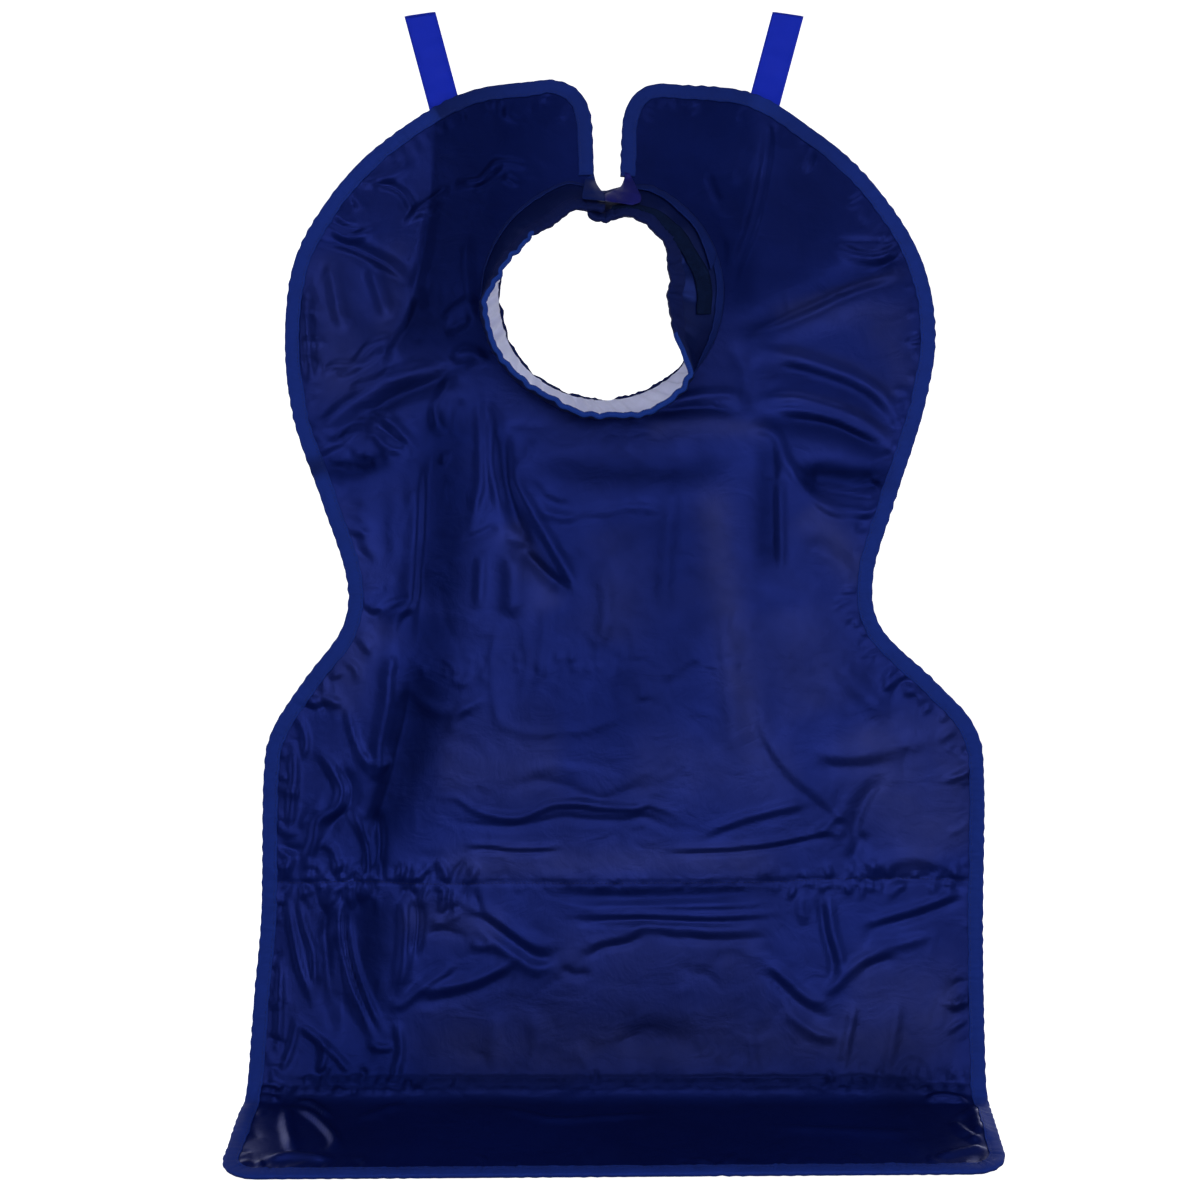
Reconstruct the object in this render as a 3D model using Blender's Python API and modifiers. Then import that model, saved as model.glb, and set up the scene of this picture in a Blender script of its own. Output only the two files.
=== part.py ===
"""A dental x-ray apron with a stand-up collar, hanging by its two ribbon loops with its hem curled forward.

Metres, +Z up, the front faces -Y. The origin is midway between the two points where the loops hang.
The cloth is drawn flat first: `across` runs to the right and `down` runs along the cloth from the
tops of the shoulder flaps. drape() then hangs each flat point.
"""

import math

import bpy
import numpy as np
from mathutils import Vector
from mathutils.geometry import delaunay_2d_cdt

# The body panel's cut
HALF_WIDTH = 0.318
BODY_LENGTH = 0.908
LIP_LENGTH = 0.139
BODY_SHIFT = 0.0055
HEM_SKEW = 0.0045
HEM_CORNER_RADIUS = 0.030
SPLIT_WIDTH = 0.0315
SPLIT_WIDTH_AT_NECK = 0.0245
FLAP_CORNER_REACH = 0.046

# The neck opening and the stand-up collar
NECK_HALF_WIDTH = 0.095
NECK_HALF_HEIGHT = 0.094
NECK_DEPTH = 0.197
NECK_SHIFT = -0.0011
COLLAR_HEIGHT = 0.057
COLLAR_MARGIN = 0.011
COLLAR_BULGE = 0.0028
FOOT_ROOM = 0.0004
TAB_LIFT = 0.0045
TAB_SPLIT_DEG = 16.0

# Cloth and ribbon
PANEL_THICKNESS = 0.0024
COLLAR_THICKNESS = 0.002
LINING_THICKNESS = 0.001
RIBBON_THICKNESS = 0.001
CLEARANCE = 0.0003
BINDING_WIDTH = 0.0125
NECK_BINDING_WIDTH = 0.007
NECK_EDGE_SHOWS = 0.0012
BASE_BAND_WIDTH = 0.009
TAPE_WIDTH = 0.023
TAPE_GAP = 0.0035
LOOP_TAPE_END_DEG = 104.0
HOOK_TAPE_START_DEG = 338.0

# The ribbon loops
LOOP_RIBBON_WIDTH = 0.028
LOOP_DROP = 0.0605
LOOP_BEND_RADIUS = 0.0045
LOOP_TUCK = 0.016
LOOP_SEAT = 0.012
LOOP_ROOM = 0.0001
LEFT_LOOP_X = -0.1656
RIGHT_LOOP_X = 0.1656
LOOP_LEAN_DEG = 15.0

# Mesh spacing
FINE_STEP = 0.006
PROFILE_STEPS = 1600
PROFILE_ROOM = 0.050
STATION_LENGTH = 0.031
STATION_TURN_DEG = 19.0
FOLD_STEP = 0.024
LATTICE_STEP = 0.040
CLOSEST_POINTS = 0.010
RING_STEP_DEG = 9.6
RING_STEP_LEAN = 0.22

# The right and left edges of the cut, as (name, across, down): shares of HALF_WIDTH and BODY_LENGTH
RIGHT_EDGE = (
    ("flap_top", 0.150, 0.004),
    ("loop_seat", 0.392, 0.013),
    ("shoulder_top", 0.561, 0.049),
    ("shoulder", 0.717, 0.098),
    ("shoulder_side", 0.856, 0.173),
    ("widest", 0.903, 0.250),
    ("armhole_top", 0.872, 0.326),
    ("armhole", 0.786, 0.421),
    ("waist", 0.727, 0.492),
    ("waist_low", 0.750, 0.544),
    ("hip_slope", 0.900, 0.596),
    ("hip_turn", 1.011, 0.641),
    ("hip", 1.036, 0.696),
    ("skirt", 1.033, 0.845),
    ("bend", 1.037, 1.000),
)
LEFT_EDGE = (
    ("flap_top", -0.180, 0.0),
    ("loop_seat", -0.398, 0.012),
    ("shoulder_top", -0.578, 0.048),
    ("shoulder", -0.736, 0.098),
    ("shoulder_side", -0.869, 0.173),
    ("widest", -0.903, 0.252),
    ("armhole_top", -0.880, 0.336),
    ("armhole", -0.797, 0.421),
    ("waist", -0.729, 0.495),
    ("waist_low", -0.742, 0.544),
    ("hip_slope", -0.850, 0.596),
    ("hip_turn", -0.939, 0.646),
    ("hip", -0.961, 0.696),
    ("skirt", -0.967, 0.821),
    ("skirt_low", -0.986, 0.902),
    ("bend", -1.003, 1.000),
)

# How far the cloth tilts forward as it goes down: (share of BODY_LENGTH, degrees from upright)
HANG = (
    (0.00, 9.0),
    (0.12, 9.0),
    (0.30, 3.5),
    (0.50, 0.0),
    (0.72, -1.5),
    (0.86, 1.5),
    (0.95, 6.0),
    (0.978, 10.0),
)
LIP_TILT_DEG = 76.0
LIP_END_TILT_DEG = 73.0
BEND_LENGTH = 0.028

# Main folds: (name, height, half width, then across and down of start, middle and end)
# The height and half width are shares of FOLD_HEIGHT and FOLD_HALF_WIDTH, and the places are shares of
# HALF_WIDTH and BODY_LENGTH. A negative height is a valley.
FOLD_HEIGHT = 0.010
FOLD_HALF_WIDTH = 0.010
FOLDS = (
    ("shoulder_left_crease", -0.40, 0.9, -0.764, 0.157, -0.661, 0.166, -0.561, 0.200),
    ("shoulder_left_ridge", 0.60, 1.2, -0.842, 0.342, -0.650, 0.299, -0.444, 0.283),
    ("shoulder_left_valley", -0.45, 1.1, -0.830, 0.372, -0.710, 0.344, -0.580, 0.330),
    ("chest_left_ridge", 0.65, 1.3, -0.356, 0.317, -0.350, 0.437, -0.400, 0.590),
    ("chest_left_valley", -0.75, 2.4, -0.458, 0.347, -0.456, 0.477, -0.545, 0.640),
    ("core_left_edge", 0.35, 0.9, -0.536, 0.369, -0.531, 0.456, -0.533, 0.556),
    ("belly_left_valley", -0.60, 2.4, -0.545, 0.640, -0.580, 0.715, -0.585, 0.785),
    ("chest_crease", -0.45, 0.9, -0.272, 0.382, -0.194, 0.457, -0.103, 0.511),
    ("neck_right_ridge", 0.50, 0.9, 0.161, 0.317, 0.270, 0.313, 0.375, 0.315),
    ("neck_right_valley", -0.50, 0.9, 0.130, 0.334, 0.250, 0.335, 0.389, 0.334),
    ("core_right_ridge", 0.45, 1.1, 0.367, 0.357, 0.369, 0.447, 0.361, 0.536),
    ("core_right_valley", -0.45, 1.2, 0.411, 0.357, 0.417, 0.457, 0.422, 0.526),
    ("shoulder_right_top", 0.50, 0.9, 0.636, 0.165, 0.722, 0.170, 0.819, 0.161),
    ("shoulder_right_long", 0.60, 1.4, 0.333, 0.262, 0.597, 0.213, 0.847, 0.189),
    ("shoulder_right_mid", 0.60, 1.0, 0.389, 0.269, 0.528, 0.277, 0.667, 0.295),
    ("shoulder_right_dip", -0.55, 1.1, 0.406, 0.289, 0.583, 0.302, 0.800, 0.345),
    ("shoulder_right_low", 0.55, 1.0, 0.394, 0.317, 0.583, 0.324, 0.778, 0.367),
    ("armhole_right_dip", -0.50, 1.2, 0.500, 0.367, 0.639, 0.372, 0.764, 0.387),
    ("belly_ridge_left", 0.65, 0.9, -0.500, 0.708, -0.320, 0.738, -0.190, 0.725),
    ("belly_ridge_mid", 0.65, 0.9, -0.190, 0.725, 0.030, 0.715, 0.236, 0.738),
    ("belly_ridge_right", -0.35, 0.9, 0.250, 0.748, 0.417, 0.736, 0.611, 0.716),
    ("thigh_ridge", 0.55, 1.1, -0.181, 0.833, 0.083, 0.838, 0.375, 0.836),
    ("thigh_crease_left", -0.60, 0.9, -0.411, 0.831, -0.270, 0.865, -0.125, 0.866),
    ("thigh_crease_low", -0.45, 0.9, -0.611, 0.920, -0.511, 0.903, -0.389, 0.893),
    ("thigh_fold_right", -0.65, 0.9, 0.586, 0.801, 0.606, 0.865, 0.625, 0.893),
    ("hip_fold_right", 0.50, 0.9, 0.681, 0.860, 0.833, 0.835, 0.975, 0.816),
    ("shin_ridge_right", 0.60, 1.1, 0.111, 0.885, 0.417, 0.880, 0.611, 0.945),
    ("skirt_left_ridge", 0.65, 0.9, -0.742, 0.806, -0.722, 0.875, -0.639, 0.960),
    ("skirt_left_valley", -0.60, 0.9, -0.858, 0.806, -0.833, 0.875, -0.819, 0.945),
    ("skirt_left_fold", 0.55, 0.9, -0.583, 0.806, -0.583, 0.865, -0.608, 0.917),
    ("hip_left_ridge", 0.40, 0.9, -0.889, 0.618, -0.889, 0.680, -0.894, 0.765),
    ("hip_left_fold", 0.50, 0.9, -0.736, 0.705, -0.692, 0.745, -0.683, 0.790),
    ("waist_seam", -0.20, 0.8, -0.470, 0.582, -0.050, 0.582, 0.360, 0.583),
    ("hip_seam_left", -0.30, 0.9, -0.944, 0.797, -0.700, 0.801, -0.400, 0.801),
    ("hip_seam_mid", -0.22, 0.9, -0.400, 0.801, 0.050, 0.802, 0.450, 0.801),
    ("hip_seam_right", -0.30, 0.9, 0.450, 0.801, 0.720, 0.797, 1.000, 0.797),
    ("lip_pucker_left", 0.60, 1.2, -0.800, 1.030, -0.700, 1.070, -0.640, 1.115),
    ("lip_pucker_right", 0.50, 1.2, 0.930, 1.030, 0.850, 1.070, 0.700, 1.095),
)
FOLD_TAPER = 0.3
FOLD_END_SHARE = 0.12
EDGE_FADE = 0.040
EDGE_SHARE = 0.30
NECK_FADE = 0.035

# The collar, clockwise from the top as the viewer sees it: (degrees, lean, base_out, lift)
# lean is a share of COLLAR_HEIGHT, outwards positive; base_out and lift are shares of COLLAR_MARGIN
# and TAB_LIFT. The two ends overlap at the top, and the right one lies inside.
COLLAR = (
    (-8.0, -0.50, -1.10, 1.0),
    (2.0, -0.55, -1.00, 1.0),
    (12.0, -0.56, -0.75, 1.0),
    (24.0, -0.60, 0.0, 0.25),
    (56.0, -0.66, 0.0, 0.0),
    (72.0, -0.78, 0.0, 0.0),
    (97.0, -0.84, 0.0, 0.0),
    (107.0, -0.77, 0.0, 0.0),
    (117.0, -0.65, 0.0, 0.0),
    (124.0, -0.50, 0.0, 0.0),
    (130.0, -0.24, 0.0, 0.0),
    (136.0, 0.06, 0.0, 0.0),
    (144.0, 0.17, 0.0, 0.0),
    (160.0, 0.20, 0.0, 0.0),
    (190.0, 0.13, 0.0, 0.0),
    (205.0, 0.05, 0.0, 0.0),
    (240.0, 0.04, 0.0, 0.0),
    (262.0, -0.03, 0.0, 0.0),
    (277.0, -0.27, 0.0, 0.0),
    (304.0, -0.48, 0.0, 0.0),
    (325.0, -0.56, 0.0, 0.0),
    (343.0, -0.52, 0.05, 0.25),
    (355.0, -0.45, 0.10, 1.0),
    (367.0, -0.36, 0.15, 1.0),
)

# Colours as linear RGB, with roughness
NAVY = (0.008, 0.014, 0.105)
ROYAL = (0.010, 0.026, 0.200)
BRIGHT = (0.007, 0.020, 0.420)
WHITE = (0.560, 0.550, 0.680)
TAPE = (0.006, 0.010, 0.055)


def clear_scene():
    for old in list(bpy.data.objects):
        bpy.data.objects.remove(old)


def material(name, colour, roughness):
    made = bpy.data.materials.new(name)
    made.use_nodes = True
    shader = made.node_tree.nodes["Principled BSDF"]
    shader.inputs["Base Color"].default_value = (*colour, 1.0)
    shader.inputs["Roughness"].default_value = roughness
    shader.inputs["Metallic"].default_value = 0.0
    return made


def smoothstep(share):
    held = np.clip(share, 0.0, 1.0)
    return held * held * (3.0 - 2.0 * held)


def through(knots, per_span=12):
    """A smooth curve through the knots, as many close points."""
    padded = [2 * knots[0] - knots[1], *knots, 2 * knots[-1] - knots[-2]]
    points = [knots[0]]
    for before, start, end, after in zip(padded, padded[1:], padded[2:], padded[3:]):
        for step in range(1, per_span + 1):
            t = step / per_span
            points.append(
                0.5
                * (
                    2 * start
                    + (end - before) * t
                    + (2 * before - 5 * start + 4 * end - after) * t**2
                    + (3 * start - before - 3 * end + after) * t**3
                )
            )
    return points


def stations(points):
    """Fewer points along a fine curve: closer together where it turns."""
    kept = [points[0]]
    spent = 0.0
    for before, here, after in zip(points, points[1:], points[2:]):
        turn = abs(math.degrees((here - before).angle(after - here, 0.0)))
        spent += (here - before).length / STATION_LENGTH + turn / STATION_TURN_DEG
        if spent >= 1.0:
            kept.append(here)
            spent = 0.0
    if (kept[-1] - points[-1]).length < 0.4 * STATION_LENGTH and len(kept) > 2:
        kept.pop()
    kept.append(points[-1])
    return kept


def edge_knots(rows):
    return [Vector((BODY_SHIFT + across * HALF_WIDTH, down * BODY_LENGTH)) for _, across, down in rows]


def corner_arc(corner, start_way, end_way, radius, steps=6):
    """Points that round a square corner, from the side that start_way points back along to end_way's."""
    centre = corner + (start_way + end_way) * radius
    return [
        centre
        - start_way * radius * math.sin(math.radians(90 * step / steps))
        - end_way * radius * math.cos(math.radians(90 * step / steps))
        for step in range(steps + 1)
    ]


def neck_point(degrees, out=0.0):
    """A flat point on the neck opening's edge, `out` further from its centre, clockwise from the top."""
    turn = math.radians(degrees)
    return Vector(
        (
            NECK_SHIFT + (NECK_HALF_WIDTH + out) * math.sin(turn),
            NECK_DEPTH - (NECK_HALF_HEIGHT + out) * math.cos(turn),
        )
    )


def split_x(side, down):
    """Where the back split's edge lies at this height. side is 1 on the right and -1 on the left."""
    neck_top = NECK_DEPTH - NECK_HALF_HEIGHT
    width = SPLIT_WIDTH + (SPLIT_WIDTH_AT_NECK - SPLIT_WIDTH) * min(1.0, down / neck_top)
    return BODY_SHIFT * 0.5 + side * width / 2


def split_degrees(side, out):
    """Where the ring `out` from the neck's edge meets the split's edge, in degrees from the top."""
    down = NECK_DEPTH - NECK_HALF_HEIGHT - out
    reach = split_x(side, down) - NECK_SHIFT
    return math.degrees(math.asin(reach / (NECK_HALF_WIDTH + out)))


def flap_corner(side, flap_top, steps=12):
    """The rounded corner of a shoulder flap, from the split's edge up to the flap's top."""
    corner = Vector((split_x(side, flap_top.y), flap_top.y))
    down = corner.y + FLAP_CORNER_REACH
    start = Vector((split_x(side, down), down))
    shares = [step / steps for step in range(steps + 1)]
    return [start * (1 - t) ** 2 + corner * 2 * t * (1 - t) + flap_top * t**2 for t in shares]


def outer_edge():
    """The bound edge's fine flat curve: right split, right side, hem, left side and left split."""
    start_out = COLLAR_MARGIN + COLLAR_THICKNESS + 2 * RIBBON_THICKNESS
    ends = {}
    for side in (1, -1):
        low = neck_point(split_degrees(side, start_out), start_out)
        ends[side] = [low, *flap_corner(side, edge_knots(RIGHT_EDGE if side > 0 else LEFT_EDGE)[0])]
    right = through(edge_knots(RIGHT_EDGE))
    left = through(edge_knots(LEFT_EDGE))
    hem = BODY_LENGTH + LIP_LENGTH
    right_corner = Vector((right[-1].x, hem - HEM_SKEW))
    left_corner = Vector((left[-1].x - HEM_SKEW, hem + HEM_SKEW))
    along = (left_corner - right_corner).normalized()
    up = Vector((0.0, -1.0))
    bottom = [
        *corner_arc(right_corner, up, along, HEM_CORNER_RADIUS),
        *corner_arc(left_corner, -along, up, HEM_CORNER_RADIUS),
    ]
    whole = [*ends[1][:-1], *right, *bottom, *reversed(left), *reversed(ends[-1][:-1])]
    return filled(whole)


def filled(points):
    """The same line with points no further apart than FINE_STEP."""
    made = [points[0]]
    for start, end in zip(points, points[1:]):
        count = max(1, math.ceil((end - start).length / FINE_STEP))
        made += [start + (end - start) * (n / count) for n in range(1, count + 1)]
    return made


def inward(points, distance):
    """Each point moved to its right-hand side, which is inside on this clockwise edge."""
    moved = []
    for index, here in enumerate(points):
        way = points[min(index + 1, len(points) - 1)] - points[max(index - 1, 0)]
        moved.append(here + Vector((-way.y, way.x)).normalized() * distance)
    return moved


def fold_curve(fold, step):
    """(points along the fold, its share along them)."""
    _, _, _, *places = fold
    start, middle, end = (
        np.array([BODY_SHIFT + across * HALF_WIDTH, down * BODY_LENGTH])
        for across, down in zip(places[::2], places[1::2])
    )
    bulge = 2 * middle - (start + end) / 2
    length = np.linalg.norm(middle - start) + np.linalg.norm(end - middle)
    share = np.linspace(0.0, 1.0, max(3, round(length / step) + 1))[:, None]
    return (1 - share) ** 2 * start + 2 * share * (1 - share) * bulge + share**2 * end, share[:, 0]


def fold_height(flat, fold):
    """How far this fold lifts each flat point."""
    height, half_width = fold[1] * FOLD_HEIGHT, fold[2] * FOLD_HALF_WIDTH
    curve, share = fold_curve(fold, FINE_STEP)
    starts, ways = curve[:-1], np.diff(curve, axis=0)
    from_start = flat[:, None, :] - starts[None]
    along = np.clip((from_start * ways).sum(2) / (ways**2).sum(1), 0.0, 1.0)
    gaps = np.linalg.norm(from_start - along[..., None] * ways, axis=2)
    nearest = gaps.argmin(1)
    rows = np.arange(len(flat))
    at = share[nearest] + along[rows, nearest] * (share[1] - share[0])
    taper = smoothstep(np.minimum(at, 1.0 - at) / FOLD_TAPER + FOLD_END_SHARE)
    return height * taper * np.exp(-((gaps[rows, nearest] / half_width) ** 2))


def distance_to(flat, line):
    starts, ways = line[:-1], np.diff(line, axis=0)
    from_start = flat[:, None, :] - starts[None]
    along = np.clip((from_start * ways).sum(2) / (ways**2).sum(1), 0.0, 1.0)
    return np.linalg.norm(from_start - along[..., None] * ways, axis=2).min(1)


def relief(flat, edge_line):
    """How far the folds lift each flat point off the plain hanging sheet."""
    lift = sum(fold_height(flat, fold) for fold in FOLDS)
    near_edge = EDGE_SHARE + (1 - EDGE_SHARE) * smoothstep(distance_to(flat, edge_line) / EDGE_FADE)
    centre = np.array(neck_point(0, -NECK_HALF_HEIGHT))
    size = np.array([NECK_HALF_WIDTH, NECK_HALF_HEIGHT]) + COLLAR_MARGIN + BINDING_WIDTH
    beyond_neck = (np.linalg.norm((flat - centre) / size, axis=1) - 1.0) * NECK_HALF_HEIGHT
    return lift * near_edge * smoothstep(beyond_neck / NECK_FADE)


def hang_profile():
    """(distances down the cloth, y, z, tilt in radians) of the sheet's side view."""
    shares, degrees = zip(*HANG)
    bend_start = BODY_LENGTH - BEND_LENGTH / 2
    downs = [share * BODY_LENGTH for share in shares]
    downs = [min(down, bend_start) for down in downs]
    downs += [BODY_LENGTH + BEND_LENGTH / 2, BODY_LENGTH + LIP_LENGTH]
    degrees = [*degrees, LIP_TILT_DEG, LIP_END_TILT_DEG]
    down = np.linspace(-PROFILE_ROOM, BODY_LENGTH + LIP_LENGTH + PROFILE_ROOM, PROFILE_STEPS)
    tilt = np.radians(np.interp(down, downs, degrees))
    step = down[1] - down[0]
    y = -np.cumsum(np.sin(tilt)) * step
    z = -np.cumsum(np.cos(tilt)) * step
    top = np.searchsorted(down, 0.0)
    loop_back = PANEL_THICKNESS / 2 + 3 * RIBBON_THICKNESS + 2 * CLEARANCE
    return down, y - y[top] - loop_back, z - z[top] - LOOP_DROP, tilt


PROFILE = hang_profile()


def drape(across, down, lift=0.0):
    """The world point of a flat point, `lift` in front of the plain sheet."""
    downs, ys, zs, tilts = PROFILE
    y, z, tilt = (float(np.interp(down, downs, values)) for values in (ys, zs, tilts))
    return Vector((across, y - lift * math.cos(tilt), z + lift * math.sin(tilt)))


def add_object(name, vertices, faces, look):
    mesh = bpy.data.meshes.new(name)
    mesh.from_pydata([tuple(v) for v in vertices], [], faces)
    mesh.materials.append(look)
    mesh.validate()
    mesh.update()
    made = bpy.data.objects.new(name, mesh)
    apron.objects.link(made)
    return made


def thicken(sheet, thickness):
    """A Solidify of half the thickness to each side, and smooth shading."""
    solid = sheet.modifiers.new("thickness", "SOLIDIFY")
    solid.thickness = thickness
    solid.offset = 0.0
    solid.use_even_offset = False
    sheet.data.shade_smooth()


def strip_faces(edge, inner):
    """Two triangles for each stretch between an edge row and the row inside it."""
    faces = []
    for e0, e1, i0, i1 in zip(edge, edge[1:], inner, inner[1:]):
        faces += [(e0, e1, i1), (e0, i1, i0)]
    return faces


def loft(name, sections, at_edge, look):
    """A closed solid through like sections. at_edge marks the section points on the sheet's edge row:
    each diagonal starts there, as strip_faces draws them, so that offset faces stay parallel."""
    count = len(at_edge)
    vertices = [point for section in sections for point in section]
    faces = []
    for station in range(len(sections) - 1):
        for here in range(count):
            after = (here + 1) % count
            a, b = station * count + here, station * count + after
            c, d = b + count, a + count
            faces += [(a, b, c), (a, c, d)] if at_edge[here] else [(a, b, d), (b, c, d)]
    last = (len(sections) - 1) * count
    faces.append(tuple(reversed(range(count))))
    faces.append(tuple(range(last, last + count)))
    made = add_object(name, vertices, faces, look)
    make_outward(made)
    made.data.shade_smooth()
    made.data.set_sharp_from_angle(angle=math.radians(40))
    return made


def make_outward(made):
    """Turns every face round if the closed mesh is inside out."""
    mesh = made.data
    volume = 0.0
    for face in mesh.polygons:
        corners = [mesh.vertices[index].co for index in face.vertices]
        for second, third in zip(corners[1:], corners[2:]):
            volume += corners[0].dot(second.cross(third))
    if volume < 0:
        mesh.flip_normals()


def channel(name, outer, inner, reach, look):
    """Binding folded round a sheet's edge. outer and inner are rows of (edge point, edge normal,
    inside point, inside normal) for the front and the back face of what it wraps, and reach is how far
    those faces lie from the points."""
    front_reach, back_reach = reach
    near, far = CLEARANCE, CLEARANCE + RIBBON_THICKNESS
    sections = []
    for index, (front, back) in enumerate(zip(outer, inner)):
        before, after = outer[max(index - 1, 0)], outer[min(index + 1, len(outer) - 1)]
        edge_f, normal_f, inside_f, inside_nf = front
        edge_b, normal_b, inside_b, inside_nb = back
        out = (edge_f - inside_f).normalized()
        way = (after[0] - before[0]).normalized()
        out = (out - way * out.dot(way)).normalized()
        sections.append(
            [
                inside_f + inside_nf * (front_reach + near),
                edge_f + normal_f * (front_reach + near) + out * near,
                edge_b - normal_b * (back_reach + near) + out * near,
                inside_b - inside_nb * (back_reach + near),
                inside_b - inside_nb * (back_reach + far),
                edge_b - normal_b * (back_reach + far) + out * near,
                (edge_f + edge_b) / 2 + out * (far + RIBBON_THICKNESS / 2),
                edge_f + normal_f * (front_reach + far) + out * near,
                inside_f + inside_nf * (front_reach + far),
            ]
        )
    return loft(name, sections, (0, 1, 1, 0, 0, 1, 1, 1, 0), look)


def flat_band(name, lower, upper, reach, look):
    """A strip of tape on a sheet's front, between two rows of (point, normal)."""
    near, far = reach + CLEARANCE, reach + CLEARANCE + RIBBON_THICKNESS
    sections = [
        [low + low_n * near, high + high_n * near, high + high_n * far, low + low_n * far]
        for (low, low_n), (high, high_n) in zip(lower, upper)
    ]
    return loft(name, sections, (0, 1, 1, 0), look)


def inside_polygon(points, polygon):
    found = np.zeros(len(points), bool)
    for (x0, y0), (x1, y1) in zip(polygon, np.roll(polygon, -1, axis=0)):
        crosses = (y0 > points[:, 1]) != (y1 > points[:, 1])
        if y0 != y1:
            at = x0 + (points[:, 1] - y0) / (y1 - y0) * (x1 - x0)
            found ^= crosses & (points[:, 0] < at)
    return found


def inner_points(polygon):
    """Flat points inside the panel: rows along the folds first, then a plain lattice between them."""
    wanted = []
    for fold in FOLDS:
        curve, _ = fold_curve(fold, FOLD_STEP)
        ways = np.gradient(curve, axis=0)
        across = np.stack([-ways[:, 1], ways[:, 0]], 1) / np.linalg.norm(ways, axis=1)[:, None]
        half_width = fold[2] * FOLD_HALF_WIDTH
        wanted += [curve + across * half_width * share for share in (0.0, 0.95, -0.95, 2.0, -2.0)]
    low, high = polygon.min(0), polygon.max(0)
    columns = np.arange(low[0], high[0], LATTICE_STEP)
    rows = np.arange(low[1], high[1], LATTICE_STEP * math.sqrt(3) / 2)
    shift = (np.arange(len(rows)) % 2) * LATTICE_STEP / 2
    wanted.append(np.array([(x + offset, y) for y, offset in zip(rows, shift) for x in columns]))
    bend_rows = BODY_LENGTH + BEND_LENGTH * np.array([-0.5, 0.0, 0.5])
    wanted.insert(0, np.array([(x, y) for y in bend_rows for x in columns]))
    wanted = np.concatenate(wanted)
    clear = inside_polygon(wanted, polygon)
    clear &= distance_to(wanted, np.vstack([polygon, polygon[:1]])) > 0.8 * CLOSEST_POINTS
    kept = np.empty((0, 2))
    lattice_from = sum(len(fold_curve(fold, FOLD_STEP)[0]) for fold in FOLDS) * 5 + 3 * len(columns)
    for index, point in enumerate(wanted):
        room = CLOSEST_POINTS if index < lattice_from else 0.62 * LATTICE_STEP
        if clear[index] and (not len(kept) or np.linalg.norm(kept - point, axis=1).min() > room):
            kept = np.vstack([kept, point])
    return kept


def same_way_round(face, flat):
    """The face's corners in the order that makes its front the side the viewer sees."""
    a, b, c = (flat[index] for index in face[:3])
    turn = (b - a).cross(c - a)
    return tuple(face) if turn < 0 else tuple(reversed(face))


def build_panel(look):
    """The body panel, and the rows that its two bindings follow."""
    bound = stations(outer_edge())
    bound_inner = inward(bound, BINDING_WIDTH)
    turns = {
        out: (split_degrees(1, out), 360.0 + split_degrees(-1, out))
        for out in (0.0, NECK_BINDING_WIDTH)
    }
    count = round(360.0 / RING_STEP_DEG)
    neck = [neck_point(a, 0.0) for a in np.linspace(*turns[0.0], count)]
    neck_inner = [neck_point(a, NECK_BINDING_WIDTH) for a in np.linspace(*turns[NECK_BINDING_WIDTH], count)]
    loop = [bound[0], *bound_inner, bound[-1], *reversed(neck_inner)]
    polygon = np.array([tuple(p) for p in loop])
    filling = [Vector(p) for p in inner_points(polygon)]
    flat, _, faces, sources, _, _ = delaunay_2d_cdt(
        [*loop, *filling], [], [list(range(len(loop)))], 1, 1e-6
    )
    place_of = {source: place for place, found in enumerate(sources) for source in found}
    flat = [Vector(p) for p in flat]
    bound_inside = [place_of[1 + n] for n in range(len(bound_inner))]
    neck_inside = [place_of[len(loop) - 1 - n] for n in range(count)]
    bound_edge = [place_of[0], *range(len(flat), len(flat) + len(bound) - 2), place_of[len(bound) + 1]]
    flat += bound[1:-1]
    neck_edge = list(range(len(flat), len(flat) + count))
    flat += neck
    faces += strip_faces(bound_edge, bound_inside) + strip_faces(neck_edge, neck_inside)
    faces = [same_way_round(face, flat) for face in faces]

    edge_line = np.array([tuple(p) for p in bound])
    lifts = relief(np.array([tuple(p) for p in flat]), edge_line)
    vertices = [drape(p.x, p.y, lift) for p, lift in zip(flat, lifts)]
    panel = add_object("body_panel", vertices, faces, look)
    thicken(panel, PANEL_THICKNESS)
    return panel, (bound_edge, bound_inside), (neck_edge, neck_inside)


def rows_of(sheet, edge, inside):
    """(edge point, edge normal, inside point, inside normal) for each station of a sheet's border."""
    points = sheet.data.vertices
    return [(points[e].co, points[e].normal, points[i].co, points[i].normal) for e, i in zip(edge, inside)]


def collar_row(degrees):
    """(lean, base_out, lift) of the collar at this turn."""
    turns, *columns = zip(*COLLAR)
    share = np.interp(degrees, turns, range(len(turns)))
    low = int(min(share, len(turns) - 2))
    eased = low + float(smoothstep(share - low) * 0.5 + (share - low) * 0.5)
    return [float(np.interp(eased, range(len(turns)), column)) for column in columns]


def outward_at(degrees):
    """The way out from the neck's centre, seen from the front."""
    turn = math.radians(degrees)
    return Vector((math.sin(turn), 0.0, math.cos(turn)))


def collar_point(degrees, height):
    """A point of the collar wall's middle surface, height up it."""
    lean, base_out, lift = collar_row(degrees)
    out = COLLAR_MARGIN * (1 + base_out)
    base = neck_point(degrees, out)
    outward = outward_at(degrees)
    forward = Vector((0.0, -1.0, 0.0))
    outer_reach = COLLAR_THICKNESS / 2 + CLEARANCE + RIBBON_THICKNESS
    foot = PANEL_THICKNESS / 2 + 2 * CLEARANCE + TAB_LIFT * lift
    foot += max(lean * outer_reach, -lean * COLLAR_THICKNESS / 2) + FOOT_ROOM
    rise = math.sqrt(1 - lean * lean)
    bulge = COLLAR_BULGE * math.sin(math.pi * height / COLLAR_HEIGHT)
    point = drape(base.x, base.y, foot)
    point += (outward * lean + forward * rise) * height
    return point + (outward * rise - forward * lean) * bulge


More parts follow.
